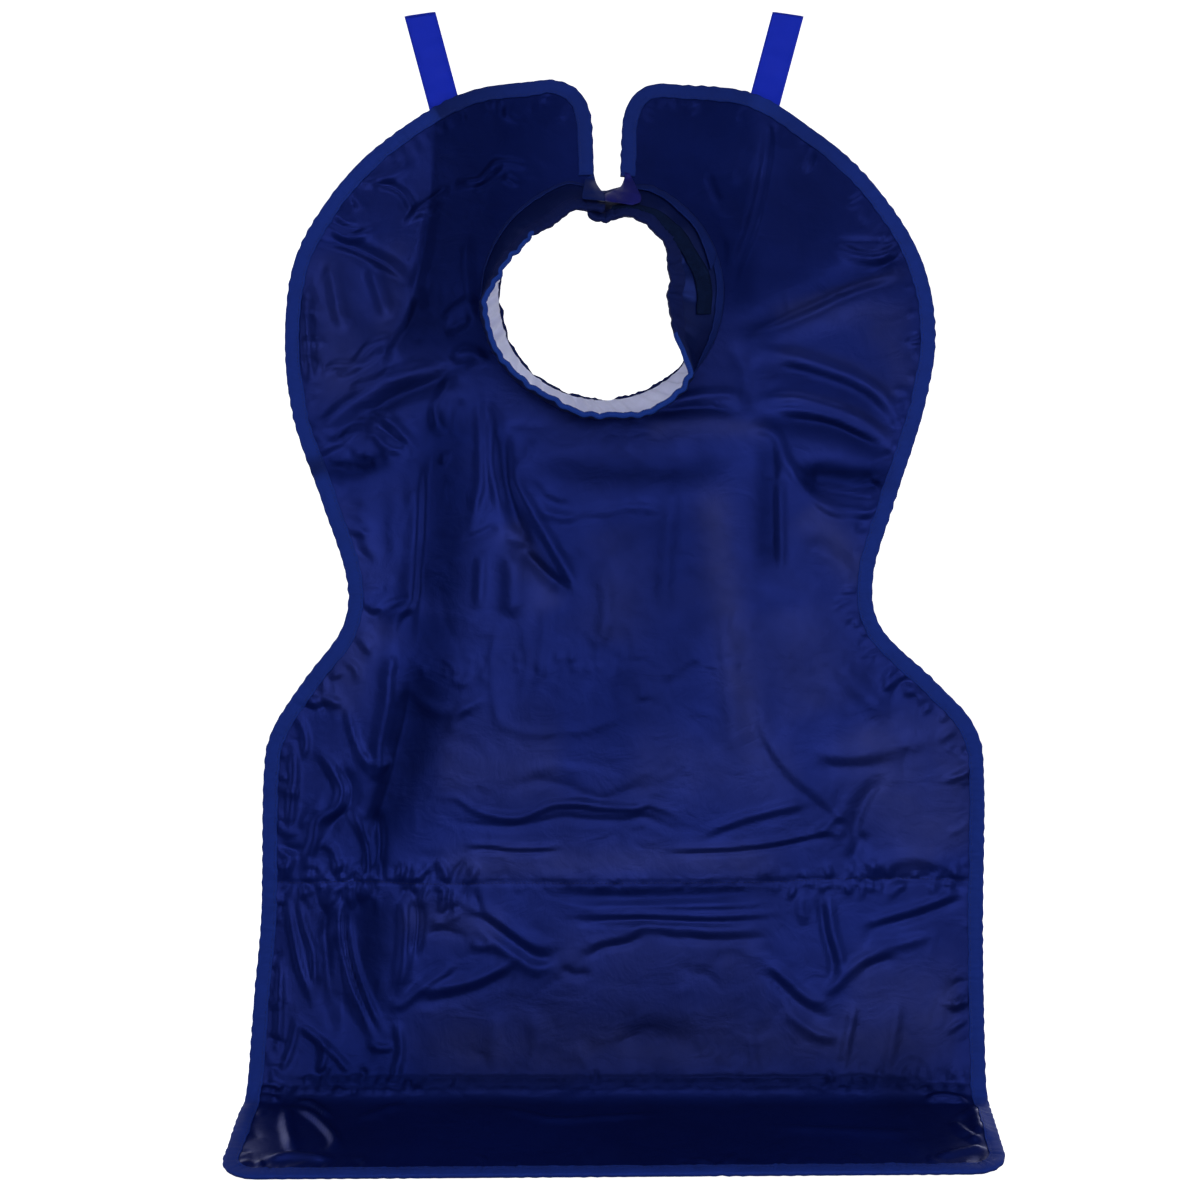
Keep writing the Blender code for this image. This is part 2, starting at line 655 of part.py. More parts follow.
def collar_rows():
    """The heights of the collar wall's rows, from its foot to its free edge."""
    tape_low = BASE_BAND_WIDTH + TAPE_GAP
    return [
        0.0,
        BASE_BAND_WIDTH,
        tape_low,
        min(tape_low + TAPE_WIDTH, COLLAR_HEIGHT - BINDING_WIDTH - TAPE_GAP),
        COLLAR_HEIGHT - BINDING_WIDTH,
        COLLAR_HEIGHT,
    ]


def grid_sheet(name, grid, thickness, look):
    """An open sheet through rows of points, one row for each station, thickened."""
    width = len(grid[0])
    faces = []
    for station in range(len(grid) - 1):
        for row in range(width - 1):
            low, high = station * width + row, station * width + row + 1
            faces += [(high, high + width, low + width), (high, low + width, low)]
    made = add_object(name, [point for section in grid for point in section], faces, look)
    outward = made.data.polygons[len(faces) // 2]
    if outward.normal.dot(outward.center - drape(*neck_point(0, -NECK_HALF_HEIGHT))) < 0:
        made.data.flip_normals()
    made.data.update()
    thicken(made, thickness)
    return made


def ring_stations():
    """The turns of the collar's stations: closer together where its lean changes."""
    first, last = COLLAR[0][0], COLLAR[-1][0]
    turns = np.linspace(first, last, round(last - first) * 2)
    leans = np.array([collar_row(turn)[0] for turn in turns])
    steps = np.diff(turns) / RING_STEP_DEG + abs(np.diff(leans)) / RING_STEP_LEAN
    spent = np.concatenate([[0.0], np.cumsum(steps)])
    even = np.linspace(0.0, spent[-1], round(spent[-1]))
    return [float(turn) for turn in np.interp(even, spent, turns)]


def lining_grid(ring, heights, wall_rows):
    """The lining lies on the wall's inner side, and slants in to the neck's edge where it is sewn."""
    spacing = (COLLAR_THICKNESS + LINING_THICKNESS) / 2 + CLEARANCE
    seat = (2 * RIBBON_THICKNESS + 2 * CLEARANCE) / (heights[1] - heights[0])
    slack = COLLAR_MARGIN - spacing - NECK_EDGE_SHOWS
    grid = []
    for station, turn in enumerate(ring):
        from_split = min(turn, 360.0 - turn)
        sewn = min(1.0, max(0.0, (from_split - TAB_SPLIT_DEG) / TAB_SPLIT_DEG))
        section = []
        for number, height in enumerate(heights):
            point, normal = wall_rows[number][station]
            if number == 0:
                next_point, next_normal = wall_rows[1][station]
                point = point.lerp(next_point, seat)
                normal = normal.lerp(next_normal, seat).normalized()
            away = slack * sewn * float(1 - smoothstep(height / heights[-2]))
            section.append(point - normal * spacing - outward_at(turn) * away)
        grid.append(section)
    return grid


def build_collar(looks):
    """The stand-up collar: wall, white lining, the binding on its free edge, foot band and tapes."""
    ring = ring_stations()
    heights = collar_rows()
    wall = grid_sheet(
        "collar_wall",
        [[collar_point(turn, height) for height in heights] for turn in ring],
        COLLAR_THICKNESS,
        looks["navy"],
    )
    width = len(heights)

    def row(sheet, number, first=0, last=len(ring)):
        points = [sheet.data.vertices[s * width + number] for s in range(first, last)]
        return [(point.co, point.normal) for point in points]

    lining = grid_sheet(
        "collar_lining",
        lining_grid(ring, heights, [row(wall, number) for number in range(width)]),
        LINING_THICKNESS,
        looks["white"],
    )
    outer = [
        (*edge, *inside)
        for edge, inside in zip(row(wall, width - 1), row(wall, width - 2))
    ]
    inner = [
        (*edge, *inside)
        for edge, inside in zip(row(lining, width - 1), row(lining, width - 2))
    ]
    channel(
        "collar_binding", outer, inner, (COLLAR_THICKNESS / 2, LINING_THICKNESS / 2), looks["royal"]
    )
    flat_band(
        "collar_foot_band",
        row(wall, 0),
        row(wall, 1),
        COLLAR_THICKNESS / 2,
        looks["royal"],
    )
    tape_stations = sum(turn <= LOOP_TAPE_END_DEG for turn in ring)
    flat_band(
        "collar_loop_tape",
        row(wall, 2, 0, tape_stations),
        row(wall, 3, 0, tape_stations),
        COLLAR_THICKNESS / 2,
        looks["tape"],
    )
    hook_from = sum(turn < HOOK_TAPE_START_DEG for turn in ring)
    flat_band(
        "collar_hook_tape",
        [(point, -normal) for point, normal in row(lining, 2, hook_from)],
        [(point, -normal) for point, normal in row(lining, 3, hook_from)],
        LINING_THICKNESS / 2,
        looks["tape"],
    )


def sheet_y(z):
    """Where the plain sheet's middle is at this height."""
    _, ys, zs, _ = PROFILE
    return float(np.interp(-z, -zs, ys))


def edge_drops(top, along, across):
    """How far down a loop's line the panel's edge crosses its two sides, the nearer one first."""
    drops, offsets = [], []
    for flat in outer_edge():
        reach = drape(flat.x, flat.y) - top
        if abs(reach.dot(across)) < LOOP_RIBBON_WIDTH and -reach.dot(along) < 2 * LOOP_DROP:
            offsets.append(reach.dot(across))
            drops.append(-reach.dot(along))
    order = np.argsort(offsets)
    sides = (-LOOP_RIBBON_WIDTH / 2, LOOP_RIBBON_WIDTH / 2)
    found = np.interp(sides, np.array(offsets)[order], np.array(drops)[order])
    return float(min(found)), float(max(found))


def build_loop(name, hang_x, side, look):
    """A ribbon loop: up from behind the panel's edge, over the hanging point, and down behind itself."""
    lean = math.radians(LOOP_LEAN_DEG)
    along = Vector((side * math.sin(lean), 0.0, math.cos(lean)))
    across = Vector((along.z, 0.0, -along.x))
    half = RIBBON_THICKNESS / 2
    radius = LOOP_BEND_RADIUS + half
    top = Vector((hang_x, 0.0, half)) - along * radius
    near, far = edge_drops(top, along, across)
    front_behind = PANEL_THICKNESS / 2 + RIBBON_THICKNESS + 2 * CLEARANCE + LOOP_ROOM + half
    back_behind = front_behind + RIBBON_THICKNESS + 2 * CLEARANCE

    def strand(behind, end_y):
        """From the tucked end up to the bend: flat behind the panel first, then straight to the bend."""
        points = []
        for drop in (far + LOOP_TUCK, far, (near + far) / 2, near - LOOP_SEAT):
            place = top - along * drop
            points.append(Vector((place.x, sheet_y(place.z) + behind, place.z)))
        place = top - along * (near - LOOP_SEAT) * 0.5
        points.append(Vector((place.x, points[-1].y + (end_y - points[-1].y) * 0.6, place.z)))
        return points

    turns = [math.pi * step / 6 for step in range(7)]
    backward = Vector((0.0, 1.0, 0.0))
    bend = [top + (along * math.sin(turn) - backward * math.cos(turn)) * radius for turn in turns]
    path = [*strand(front_behind, bend[0].y), *bend, *reversed(strand(back_behind, bend[-1].y))]
    sections = []
    for index, here in enumerate(path):
        way = (path[min(index + 1, len(path) - 1)] - path[max(index - 1, 0)]).normalized()
        tilt = way.y / way.z * across.z if abs(way.z) > 0.7 else 0.0
        wide = (across + Vector((0.0, tilt, 0.0))) * (LOOP_RIBBON_WIDTH / 2)
        out = way.cross(wide).normalized() * half
        sections.append([here - wide - out, here + wide - out, here + wide + out, here - wide + out])
    return loft(name, sections, (0, 1, 1, 0), look)


clear_scene()
apron = bpy.data.collections.new("dental_x_ray_apron")
bpy.context.scene.collection.children.link(apron)
LOOKS = {
    "navy": material("navy_coated_cloth", NAVY, 0.38),
    "royal": material("royal_binding", ROYAL, 0.62),
    "bright": material("bright_ribbon", BRIGHT, 0.50),
    "white": material("white_lining", WHITE, 0.75),
    "tape": material("closure_tape", TAPE, 0.85),
}
body_panel, bound_rows, neck_rows = build_panel(LOOKS["navy"])
bound_strip = rows_of(body_panel, *bound_rows)
channel("edge_binding", bound_strip, bound_strip, (PANEL_THICKNESS / 2,) * 2, LOOKS["royal"])
neck_strip = rows_of(body_panel, *neck_rows)
channel("neckline_binding", neck_strip, neck_strip, (PANEL_THICKNESS / 2,) * 2, LOOKS["navy"])
build_collar(LOOKS)
build_loop("hanging_loop_left", LEFT_LOOP_X, -1, LOOKS["bright"])
build_loop("hanging_loop_right", RIGHT_LOOP_X, 1, LOOKS["bright"])
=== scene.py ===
"""Dresses the dental x-ray apron: coated nylon in its folds, woven bindings, collar, tapes and loops."""

import math
import random

import bpy
import numpy as np
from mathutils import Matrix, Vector


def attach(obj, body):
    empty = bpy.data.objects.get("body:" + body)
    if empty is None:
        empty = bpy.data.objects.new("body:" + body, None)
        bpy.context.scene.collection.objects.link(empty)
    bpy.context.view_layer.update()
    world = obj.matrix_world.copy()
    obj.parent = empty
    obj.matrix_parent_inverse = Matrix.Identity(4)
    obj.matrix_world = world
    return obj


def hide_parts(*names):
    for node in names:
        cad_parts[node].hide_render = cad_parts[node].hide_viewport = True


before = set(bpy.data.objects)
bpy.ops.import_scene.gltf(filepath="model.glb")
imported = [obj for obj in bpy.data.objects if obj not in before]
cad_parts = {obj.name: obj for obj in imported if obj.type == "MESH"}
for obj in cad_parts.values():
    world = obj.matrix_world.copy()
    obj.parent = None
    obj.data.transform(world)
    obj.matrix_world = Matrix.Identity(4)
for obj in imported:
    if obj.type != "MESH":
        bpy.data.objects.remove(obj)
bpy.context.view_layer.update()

# The front view: a square of 1200 columns and rows, each GRID wide on the plane of the hanging points
GRID = 0.0009
VIEW_MIDDLE = 600
CAMERA_X = -0.0036
CAMERA_Z = -0.5265
CAMERA_DISTANCE = 2.4

# The cut, in metres, as in the solids
HALF_WIDTH = 0.318
BODY_LENGTH = 0.908
LIP_LENGTH = 0.139
BODY_SHIFT = 0.0055
HEM_SKEW = 0.0045
HEM_CORNER_RADIUS = 0.030
SPLIT_WIDTH = 0.0315
SPLIT_WIDTH_AT_NECK = 0.0245
FLAP_CORNER_REACH = 0.046
NECK_HALF_WIDTH = 0.095
NECK_HALF_HEIGHT = 0.094
NECK_DEPTH = 0.197
NECK_SHIFT = -0.0011
COLLAR_HEIGHT = 0.057
COLLAR_MARGIN = 0.011
PANEL_HALF = 0.0012
BINDING_WIDTH = 0.0125
NECK_BINDING_WIDTH = 0.007
LOOP_DROP = 0.0605
LOOP_BEND_RADIUS = 0.0045
LOOP_TUCK = 0.016
LOOP_SEAT = 0.012
LOOP_LEAN_DEG = 15.0
LOOP_RIBBON_WIDTH = 0.028
LOOP_X = 0.1656
FLOOR_Z = -1.0062
EDGE_FROM_COLLAR = 0.004

RIGHT_EDGE = (
    ("flap_top", 0.150, 0.004),
    ("loop_seat", 0.392, 0.013),
    ("shoulder_top", 0.561, 0.049),
    ("shoulder", 0.717, 0.098),
    ("shoulder_side", 0.856, 0.173),
    ("widest", 0.903, 0.250),
    ("armhole_top", 0.872, 0.326),
    ("armhole", 0.786, 0.421),
    ("waist", 0.727, 0.492),
    ("waist_low", 0.750, 0.544),
    ("hip_slope", 0.900, 0.596),
    ("hip_turn", 1.011, 0.641),
    ("hip", 1.036, 0.696),
    ("skirt", 1.033, 0.845),
    ("bend", 1.037, 1.000),
)
LEFT_EDGE = (
    ("flap_top", -0.180, 0.0),
    ("loop_seat", -0.398, 0.012),
    ("shoulder_top", -0.578, 0.048),
    ("shoulder", -0.736, 0.098),
    ("shoulder_side", -0.869, 0.173),
    ("widest", -0.903, 0.252),
    ("armhole_top", -0.880, 0.336),
    ("armhole", -0.797, 0.421),
    ("waist", -0.729, 0.495),
    ("waist_low", -0.742, 0.544),
    ("hip_slope", -0.850, 0.596),
    ("hip_turn", -0.939, 0.646),
    ("hip", -0.961, 0.696),
    ("skirt", -0.967, 0.821),
    ("skirt_low", -0.986, 0.902),
    ("bend", -1.003, 1.000),
)
HANG = (
    (0.00, 9.0),
    (0.12, 9.0),
    (0.30, 3.5),
    (0.50, 0.0),
    (0.72, -1.5),
    (0.86, 1.5),
    (0.95, 6.0),
    (0.978, 10.0),
)
LIP_TILT_DEG = 76.0
LIP_END_TILT_DEG = 73.0
BEND_LENGTH = 0.028

# The plain sheet's side view: the depth of its top, and how finely and how far past its ends it is made
TOP_FORWARD = 0.0048
PROFILE_POINTS = 3200
PROFILE_SPARE = 0.05

# Spacing of the cloth's vertices, and the flat space that their grid covers
CLOTH_STEP = 0.00246
EDGE_STEP = 0.0028
LIFT_GRID_ACROSS = (-0.345, 0.358)
LIFT_GRID_ABOVE = 0.012
LIFT_GRID_BELOW = 0.016

# Folds: MM turns the tables' millimetres into metres, FOLD_REACH is how far a fold is felt for each
# millimetre of its width, and FOLD_STEP is the spacing of the points on its line. Near the body's edges
# the cloth is calmer: EDGE_KEPT of its lift is left at the outer edge, and none at the neck.
MM = 0.001
FOLD_REACH = 0.0028
FOLD_STEP = 0.003
SEAM_WIDTH = 1.9
EDGE_KEPT = 0.45
CALM_REACH = 0.022
WRINKLE_SEED = 5
WRINKLE_COUNT = 520
STRAIN_SEED = 6
STRAIN_COUNT = 300
STRAIN_LENGTH = 0.030
STRAIN_START = 0.011
GATHER_GAPS = 0.22

# The folds of the cloth, as the front view shows them: (name, height, over, under, places)
# height, over and under are millimetres, and a negative height is a valley. over is the half width on
# the right of a fold drawn downwards, or above one drawn to the right, and under is the other side's.
# Each place is a column and a row of the front view.
FOLDS = (
    # Left shoulder
    ("yoke_left", -3.4, 22, 80, ((436, 138), (434, 182), (426, 250), (408, 330), (396, 372))),
    ("shoulder_crumple_long", 3, 3, 4, ((455, 187), (466, 183), (480, 181), (492, 168), (503, 154))),
    ("shoulder_crumple_short", 2.4, 3, 3, ((492, 170), (503, 163), (516, 164), (529, 169))),
    ("shoulder_crumple_under", -1.95, 3, 3, ((470, 190), (484, 186), (497, 176), (510, 173))),
    ("shoulder_crumple_low", 1.65, 3, 3, ((503, 177), (512, 181), (519, 187))),
    ("shoulder_diagonal_a", 2.7, 3, 4, ((352, 176), (366, 165), (384, 154), (396, 160))),
    ("shoulder_diagonal_b", 2.4, 3, 4, ((356, 184), (377, 180), (398, 172), (410, 160))),
    ("shoulder_diagonal_c", 2.1, 4, 4, ((330, 200), (346, 186), (360, 172))),
    ("shoulder_curl", -3.3, 4, 4, ((366, 183), (386, 184), (402, 192), (411, 208), (410, 220))),
    ("shoulder_curl_ridge", 3, 3, 4, ((409, 221), (418, 209), (434, 198), (449, 186))),
    ("shoulder_hook", 2.25, 3, 3, ((404, 226), (414, 214), (430, 210), (441, 199))),
    ("shoulder_thin", 2.4, 2.5, 4, ((320, 222), (334, 231), (350, 237), (364, 233), (378, 229))),
    ("shoulder_thin_shade", -2.1, 3, 3, ((322, 217), (338, 224), (352, 229), (368, 227))),
    ("shoulder_valley", -4.88, 7, 5, ((302, 237), (332, 241), (360, 250), (390, 266), (415, 286))),
    ("shoulder_lit_strip", 1.6, 7, 4, ((432, 190), (428, 225), (421, 262), (409, 306))),
    ("shoulder_lit_arc", 3.12, 9, 6, ((424, 286), (414, 318), (398, 346), (382, 370))),
    ("shoulder_vertical_a", 2.85, 7.2, 7.2, ((328, 255), (335, 285), (344, 335))),
    ("shoulder_vertical_b", 2.85, 7.2, 7.2, ((369, 262), (380, 290), (388, 322))),
    ("shoulder_vertical_c", 5.13, 5.4, 4.5, ((306, 285), (307, 330), (311, 388))),
    ("shoulder_wave_a", 2.25, 3, 3, ((318, 378), (334, 366), (354, 364), (370, 345), (396, 335))),
    ("shoulder_wave_b", 1.95, 3, 3, ((335, 376), (352, 370), (370, 360), (384, 346))),
    ("shoulder_wave_c", 1.8, 3, 3, ((345, 391), (362, 384), (380, 378), (396, 366))),
    ("neck_left_arc", 1.62, 3.6, 4.8, ((441, 322), (455, 309), (469, 301), (476, 304))),
    ("neck_left_shade", -1.72, 3.6, 4.8, ((446, 334), (460, 324), (474, 317))),
    ("neck_left_down", 1.52, 4.8, 4.8, ((468, 232), (467, 262), (471, 300), (473, 330))),
    ("chest_left_ridge", 3.02, 6, 7.2,
     ((308, 437), (326, 422), (350, 403), (384, 382), (413, 371), (444, 363))),
    ("chest_left_under", -3.6, 7, 8,
     ((322, 445), (352, 428), (392, 400), (424, 387), (456, 371), (480, 350))),
    ("chest_lump_top", 2.2, 5, 9, ((449, 362), (462, 353), (478, 356), (486, 366))),
    ("chest_lump_left", 1.8, 7, 5, ((455, 364), (446, 388), (438, 412), (431, 440))),
    ("chest_v_left", 1.15, 3.6, 4.8, ((433, 396), (435, 414), (447, 439))),
    ("chest_v_right", 1.15, 4.8, 3.6, ((460, 396), (456, 420), (449, 440))),
    ("crumple_a", 1.95, 3.6, 3.6, ((366, 443), (374, 434), (384, 445), (398, 449), (412, 443))),
    ("crumple_b", 1.72, 3.6, 3.6, ((352, 424), (370, 415), (390, 421), (404, 436), (420, 452))),
    ("crumple_c", 1.52, 3.6, 3.6, ((340, 441), (352, 432), (365, 428))),
    ("crumple_d", -1.83, 3.6, 3.6, ((372, 426), (386, 432), (398, 441), (410, 448))),
    ("crumple_dash", 1.41, 2.4, 2.4, ((441, 464), (448, 452))),
    ("arm_left_thin", 1.58, 3.6, 4.8, ((307, 455), (322, 447), (340, 441), (360, 420))),
    ("arm_left_shade", -1.3, 4.8, 4.8, ((310, 462), (330, 456), (352, 446))),
    ("arm_left_low", -3.2, 10, 9, ((302, 470), (328, 472), (352, 470), (378, 462))),
    # Left body
    ("core_edge", 2.2, 3, 10, ((418, 452), (418, 500), (415, 556), (411, 600), (396, 622), (392, 660))),
    ("core_valley", -3.4, 30, 7, ((440, 430), (430, 480), (427, 540), (422, 600), (418, 668))),
    ("core_streak_a", 0.79, 7.2, 7.2, ((362, 480), (366, 520), (370, 566))),
    ("core_streak_b", 0.72, 7.2, 7.2, ((392, 470), (396, 520), (394, 580))),
    ("core_crease", -1.3, 3, 3.6, ((384, 606), (398, 601), (412, 596))),
    ("core_crease_low", 1.08, 3.6, 3.6, ((386, 616), (400, 610), (414, 606))),
    ("core_fold", 1.08, 4.8, 7.2, ((417, 577), (442, 564), (468, 553))),
    ("core_fold_top", -1.15, 3, 4.8, ((459, 543), (478, 535), (499, 524))),
    ("chest_line_a", 1.81, 3.6, 4.8, ((478, 384), (480, 420), (481, 478), (476, 504), (470, 536))),
    ("chest_line_b", 2.02, 4.8, 3.6, ((488, 396), (490, 430), (491, 465), (496, 490), (502, 520))),
    ("chest_line_low_a", 1.44, 4.8, 4.8, ((483, 548), (481, 575), (479, 612))),
    ("chest_line_low_b", 2.4, 12, 8, ((509, 546), (512, 575), (512, 622))),
    ("chest_dark", -3.2, 6, 9, ((505, 424), (506, 470), (513, 505), (524, 535), (534, 552))),
    ("chest_diagonal", 2.3, 6, 3.6,
     ((512, 462), (515, 482), (530, 508), (550, 543), (571, 580), (578, 602))),
    ("chest_wedge", -2.59, 3.6, 7.2, ((520, 547), (535, 562), (552, 578), (570, 590))),
    ("chest_wedge_top", -1.22, 3.6, 3.6, ((502, 534), (516, 541), (534, 543))),
    ("chest_arc", 0.91, 4, 5.3, ((529, 478), (541, 494), (557, 503), (577, 508))),
    ("chest_arc_shade", -0.8, 4, 4, ((543, 489), (554, 497), (566, 500))),
    ("chest_nick", 0.94, 3.6, 3.6, ((514, 462), (527, 457), (533, 438))),
    ("chest_ripple_a", -0.85, 4, 4, ((532, 512), (550, 515), (567, 518), (582, 513))),
    ("chest_ripple_b", -0.76, 4, 4, ((591, 515), (608, 512), (630, 507), (668, 511))),
    ("chest_ripple_lit", 0.66, 4, 5.3, ((545, 521), (566, 525), (586, 521), (610, 517))),
    ("chest_band", -1.7, 12, 14, ((545, 462), (600, 466), (660, 468), (730, 462))),
    # Right shoulder
    ("yoke_right", -3.4, 80, 26, ((746, 142), (742, 190), (733, 260), (724, 300))),
    ("neck_right_strain_a", 2.71, 3.6, 6, ((772, 104), (766, 165), (754, 222), (738, 264), (727, 304))),
    ("neck_right_strain_b", 1.41, 4.8, 4.8, ((752, 140), (744, 162), (733, 186))),
    ("neck_right_strain_c", 1.41, 3.6, 3.6, ((706, 170), (711, 186), (719, 205))),
    ("neck_right_strain_d", 1.52, 3.6, 3.6, ((722, 236), (723, 256), (721, 276))),
    ("binding_crease_right", -1.15, 3.6, 4.8, ((776, 126), (800, 137), (824, 156), (842, 175), (860, 190))),
    ("tongue_shade", -1.4, 3, 5, ((832, 242), (852, 241), (880, 241), (902, 238))),
    ("tongue", 2.8, 4, 6, ((837, 243), (850, 253), (872, 257), (890, 252), (906, 240))),
    ("wing_valley", -3.4, 15, 9, ((742, 338), (772, 323), (806, 306), (852, 284), (916, 262))),
    ("wing_ridge", 2.6, 6, 15, ((740, 345), (772, 331), (810, 316), (856, 296), (914, 281))),
    ("wing_fold_a", 2.4, 6, 9,
     ((746, 350), (768, 352), (794, 357), (826, 367), (858, 380), (884, 398), (904, 430))),
    ("wing_fold_a_shade", -2, 6, 13,
     ((760, 366), (794, 370), (830, 380), (862, 394), (884, 414), (900, 440))),
    ("wing_fold_b", 2.2, 4, 7, ((746, 405), (768, 399), (796, 398), (830, 407), (864, 421), (898, 445))),
    ("wing_fold_b_thin", 1.28, 2.5, 3, ((760, 412), (790, 409), (824, 415), (852, 427), (880, 441))),
    ("wing_fold_b_shade", -2.3, 5, 12, ((766, 421), (800, 421), (836, 427), (868, 442), (893, 456))),
    ("bib_ridge", 1.5, 4.5, 4, ((660, 403), (690, 397), (722, 394), (748, 398))),
    ("bib_valley", -1.9, 4, 6, ((640, 413), (664, 410), (708, 408), (745, 414))),
    ("bib_join", -1.44, 7.2, 7.2, ((728, 340), (742, 366), (748, 392), (750, 412))),
    ("flank_corner", 1.73, 6, 4.8, ((744, 430), (764, 430), (777, 438), (781, 458), (785, 480))),
    ("flank_line", 1.58, 4.8, 3.6, ((779, 440), (790, 468), (806, 490), (832, 512), (860, 524))),
    ("flank_valley", -1.6, 4, 18, ((774, 444), (774, 490), (775, 530), (776, 576))),
    ("flank_edge", 1.58, 4.8, 3.6, ((779, 470), (779, 520), (780, 578))),
    ("arm_right_valley", -4.6, 14, 13, ((792, 476), (830, 482), (862, 486), (898, 484))),
    ("arm_right_thin_a", -1.3, 3, 3.6, ((806, 488), (834, 494), (862, 499), (888, 500))),
    ("arm_right_thin_b", 1.08, 3.6, 4.8, ((812, 499), (838, 506), (866, 511), (886, 513))),
    ("arm_right_thin_c", -0.94, 3.6, 3.6, ((822, 514), (850, 520), (880, 524))),
    ("flank_soft", 1.6, 10, 10, ((800, 540), (836, 560), (860, 590))),
    # Middle
    ("middle_streak_a", 1.2, 7, 7, ((600, 560), (606, 600), (602, 650))),
    ("middle_streak_b", 1.2, 7, 8, ((676, 470), (668, 540), (664, 620))),
    ("middle_streak_c", 1.4, 12, 10, ((724, 590), (728, 660), (734, 730), (744, 780))),
    ("middle_pucker_a", 0.65, 4, 5.3, ((541, 600), (545, 632), (540, 668), (536, 700))),
    ("middle_pucker_b", 0.69, 5.3, 4, ((497, 620), (492, 668), (494, 700), (500, 722))),
    ("middle_pucker_c", 0.56, 4, 4, ((518, 612), (528, 660), (518, 706))),
    ("middle_pucker_d", 0.52, 4, 4, ((585, 628), (598, 650), (588, 668))),
    ("middle_pucker_e", 0.43, 4, 4, ((620, 612), (634, 640), (632, 664))),
    ("middle_pucker_f", 0.56, 4, 4, ((636, 676), (643, 690), (640, 704))),
    ("belly_zone", -5.4, 30, 8, ((418, 660), (410, 700), (400, 742), (390, 782), (376, 830), (364, 872))),
    ("belly_zone_edge", 2.2, 4, 7, ((390, 646), (388, 700), (380, 748), (384, 792))),
    ("belly_lit_a", 1.22, 4.8, 6, ((412, 698), (444, 712), (474, 703), (492, 690))),
    ("belly_lit_b", 1.15, 4.8, 4.8, ((450, 735), (456, 716), (472, 702))),
    ("belly_knot_a", 1.08, 3.6, 3.6, ((388, 656), (393, 664), (388, 676))),
    ("belly_knot_b", 1.08, 3.6, 3.6, ((440, 656), (452, 664), (458, 678))),
    ("belly_knot_c", 0.94, 3.6, 3.6, ((452, 676), (462, 684), (468, 678))),
    ("belly_arc", 0.57, 3.6, 4.8,
     ((484, 702), (497, 717), (513, 728), (537, 733), (576, 731), (614, 719), (632, 703))),
    ("belly_lens", 0.47, 4.8, 6, ((524, 772), (542, 768), (560, 768), (590, 773))),
    ("belly_dip", -0.56, 4.8, 4.8,
     ((496, 797), (518, 786), (538, 781), (564, 786), (588, 796), (604, 800), (630, 790), (668, 785))),
    ("main_fold", 1.4, 2.8, 2.4,
     ((424, 794), (442, 797), (457, 799), (471, 808), (488, 815), (504, 818), (520, 818), (538, 811),
      (554, 805), (579, 804), (604, 807), (637, 808), (647, 804), (660, 808), (672, 813), (682, 822),
      (697, 826))),
    ("main_fold_lip", 0.69, 1.9, 1.9,
     ((440, 796), (458, 797), (471, 805), (488, 812), (504, 815), (521, 815), (538, 808), (554, 802),
      (579, 801), (604, 803), (637, 804))),
    ("main_fold_shade", -0.9, 2.4, 4,
     ((436, 808), (453, 819), (475, 824), (512, 826), (538, 822), (562, 817), (588, 819), (620, 820),
      (645, 817), (662, 824), (680, 831), (698, 831))),
    ("main_fold_rise", -0.6, 2.9, 4.8, ((697, 846), (708, 839), (730, 828), (772, 815), (815, 807))),
    ("main_fold_rise_lit", 1.3, 4.8, 4.8, ((700, 836), (716, 828), (746, 818), (784, 808), (818, 800))),
    ("low_crease_left", -1.15, 1.5, 2, ((462, 848), (487, 849), (520, 852), (566, 850))),
    ("low_crease_left_lit", 0.94, 2.4, 2.4, ((462, 844), (487, 845), (520, 848), (566, 846))),
    ("low_crease_right", -1.15, 1.5, 2.3,
     ((658, 852), (687, 853), (733, 851), (773, 847), (812, 839), (838, 834))),
    ("low_crease_right_lit", 1.01, 2.9, 2.4,
     ((658, 848), (687, 849), (733, 847), (773, 842), (812, 834), (836, 828))),
    ("right_diagonal", 0.67, 6, 4.1,
     ((758, 660), (761, 700), (765, 733), (785, 765), (806, 784), (826, 800), (846, 824), (849, 858))),
    ("right_diagonal_shade", -0.66, 3, 7,
     ((753, 712), (764, 746), (784, 776), (806, 797), (830, 816), (843, 838))),
    ("right_fan_a", 1.15, 3.6, 3.6, ((812, 836), (826, 826), (838, 816), (848, 822))),
    ("right_fan_b", 1.01, 3.6, 3.6, ((818, 830), (834, 832), (846, 836))),
    ("right_pit", -1.8, 9, 5, ((851, 846), (856, 824), (868, 796), (886, 774))),
    ("right_pit_low", -1.44, 6, 6, ((850, 866), (858, 846), (866, 830))),
    ("right_soft_a", 1.01, 7.2, 7.2, ((806, 752), (852, 755), (902, 746), (936, 738))),
    ("right_soft_b", -1.01, 6, 7.2, ((812, 764), (852, 768), (896, 762))),
    ("right_soft_c", 1.5, 9, 9, ((830, 655), (860, 690), (892, 720))),
    ("hip_right_nick_a", 1.15, 3.6, 3.6, ((870, 640), (884, 650), (902, 660))),
    ("hip_right_nick_b", 1.01, 3.6, 3.6, ((894, 664), (910, 676), (926, 682))),
    ("hip_right_nick_c", 0.86, 3.6, 3.6, ((918, 690), (936, 700), (952, 704))),
    # Left hip
    ("hip_left_knot", 2.2, 3, 4, ((290, 694), (300, 699), (322, 699), (348, 705))),
    ("hip_left_knot_shade", -1.8, 3, 3, ((294, 704), (312, 708), (334, 708))),
    ("hip_left_drop", 1.7, 3, 3, ((294, 712), (304, 730), (306, 746), (302, 762))),
    ("hip_left_line", 2.4, 4, 3, ((291, 736), (294, 762), (293, 790), (288, 840))),
    ("hip_left_fan", 1.7, 3, 3, ((346, 702), (352, 730), (364, 762), (374, 778))),
    ("hip_left_fan_back", 1.5, 3, 3, ((374, 780), (380, 768), (392, 760))),
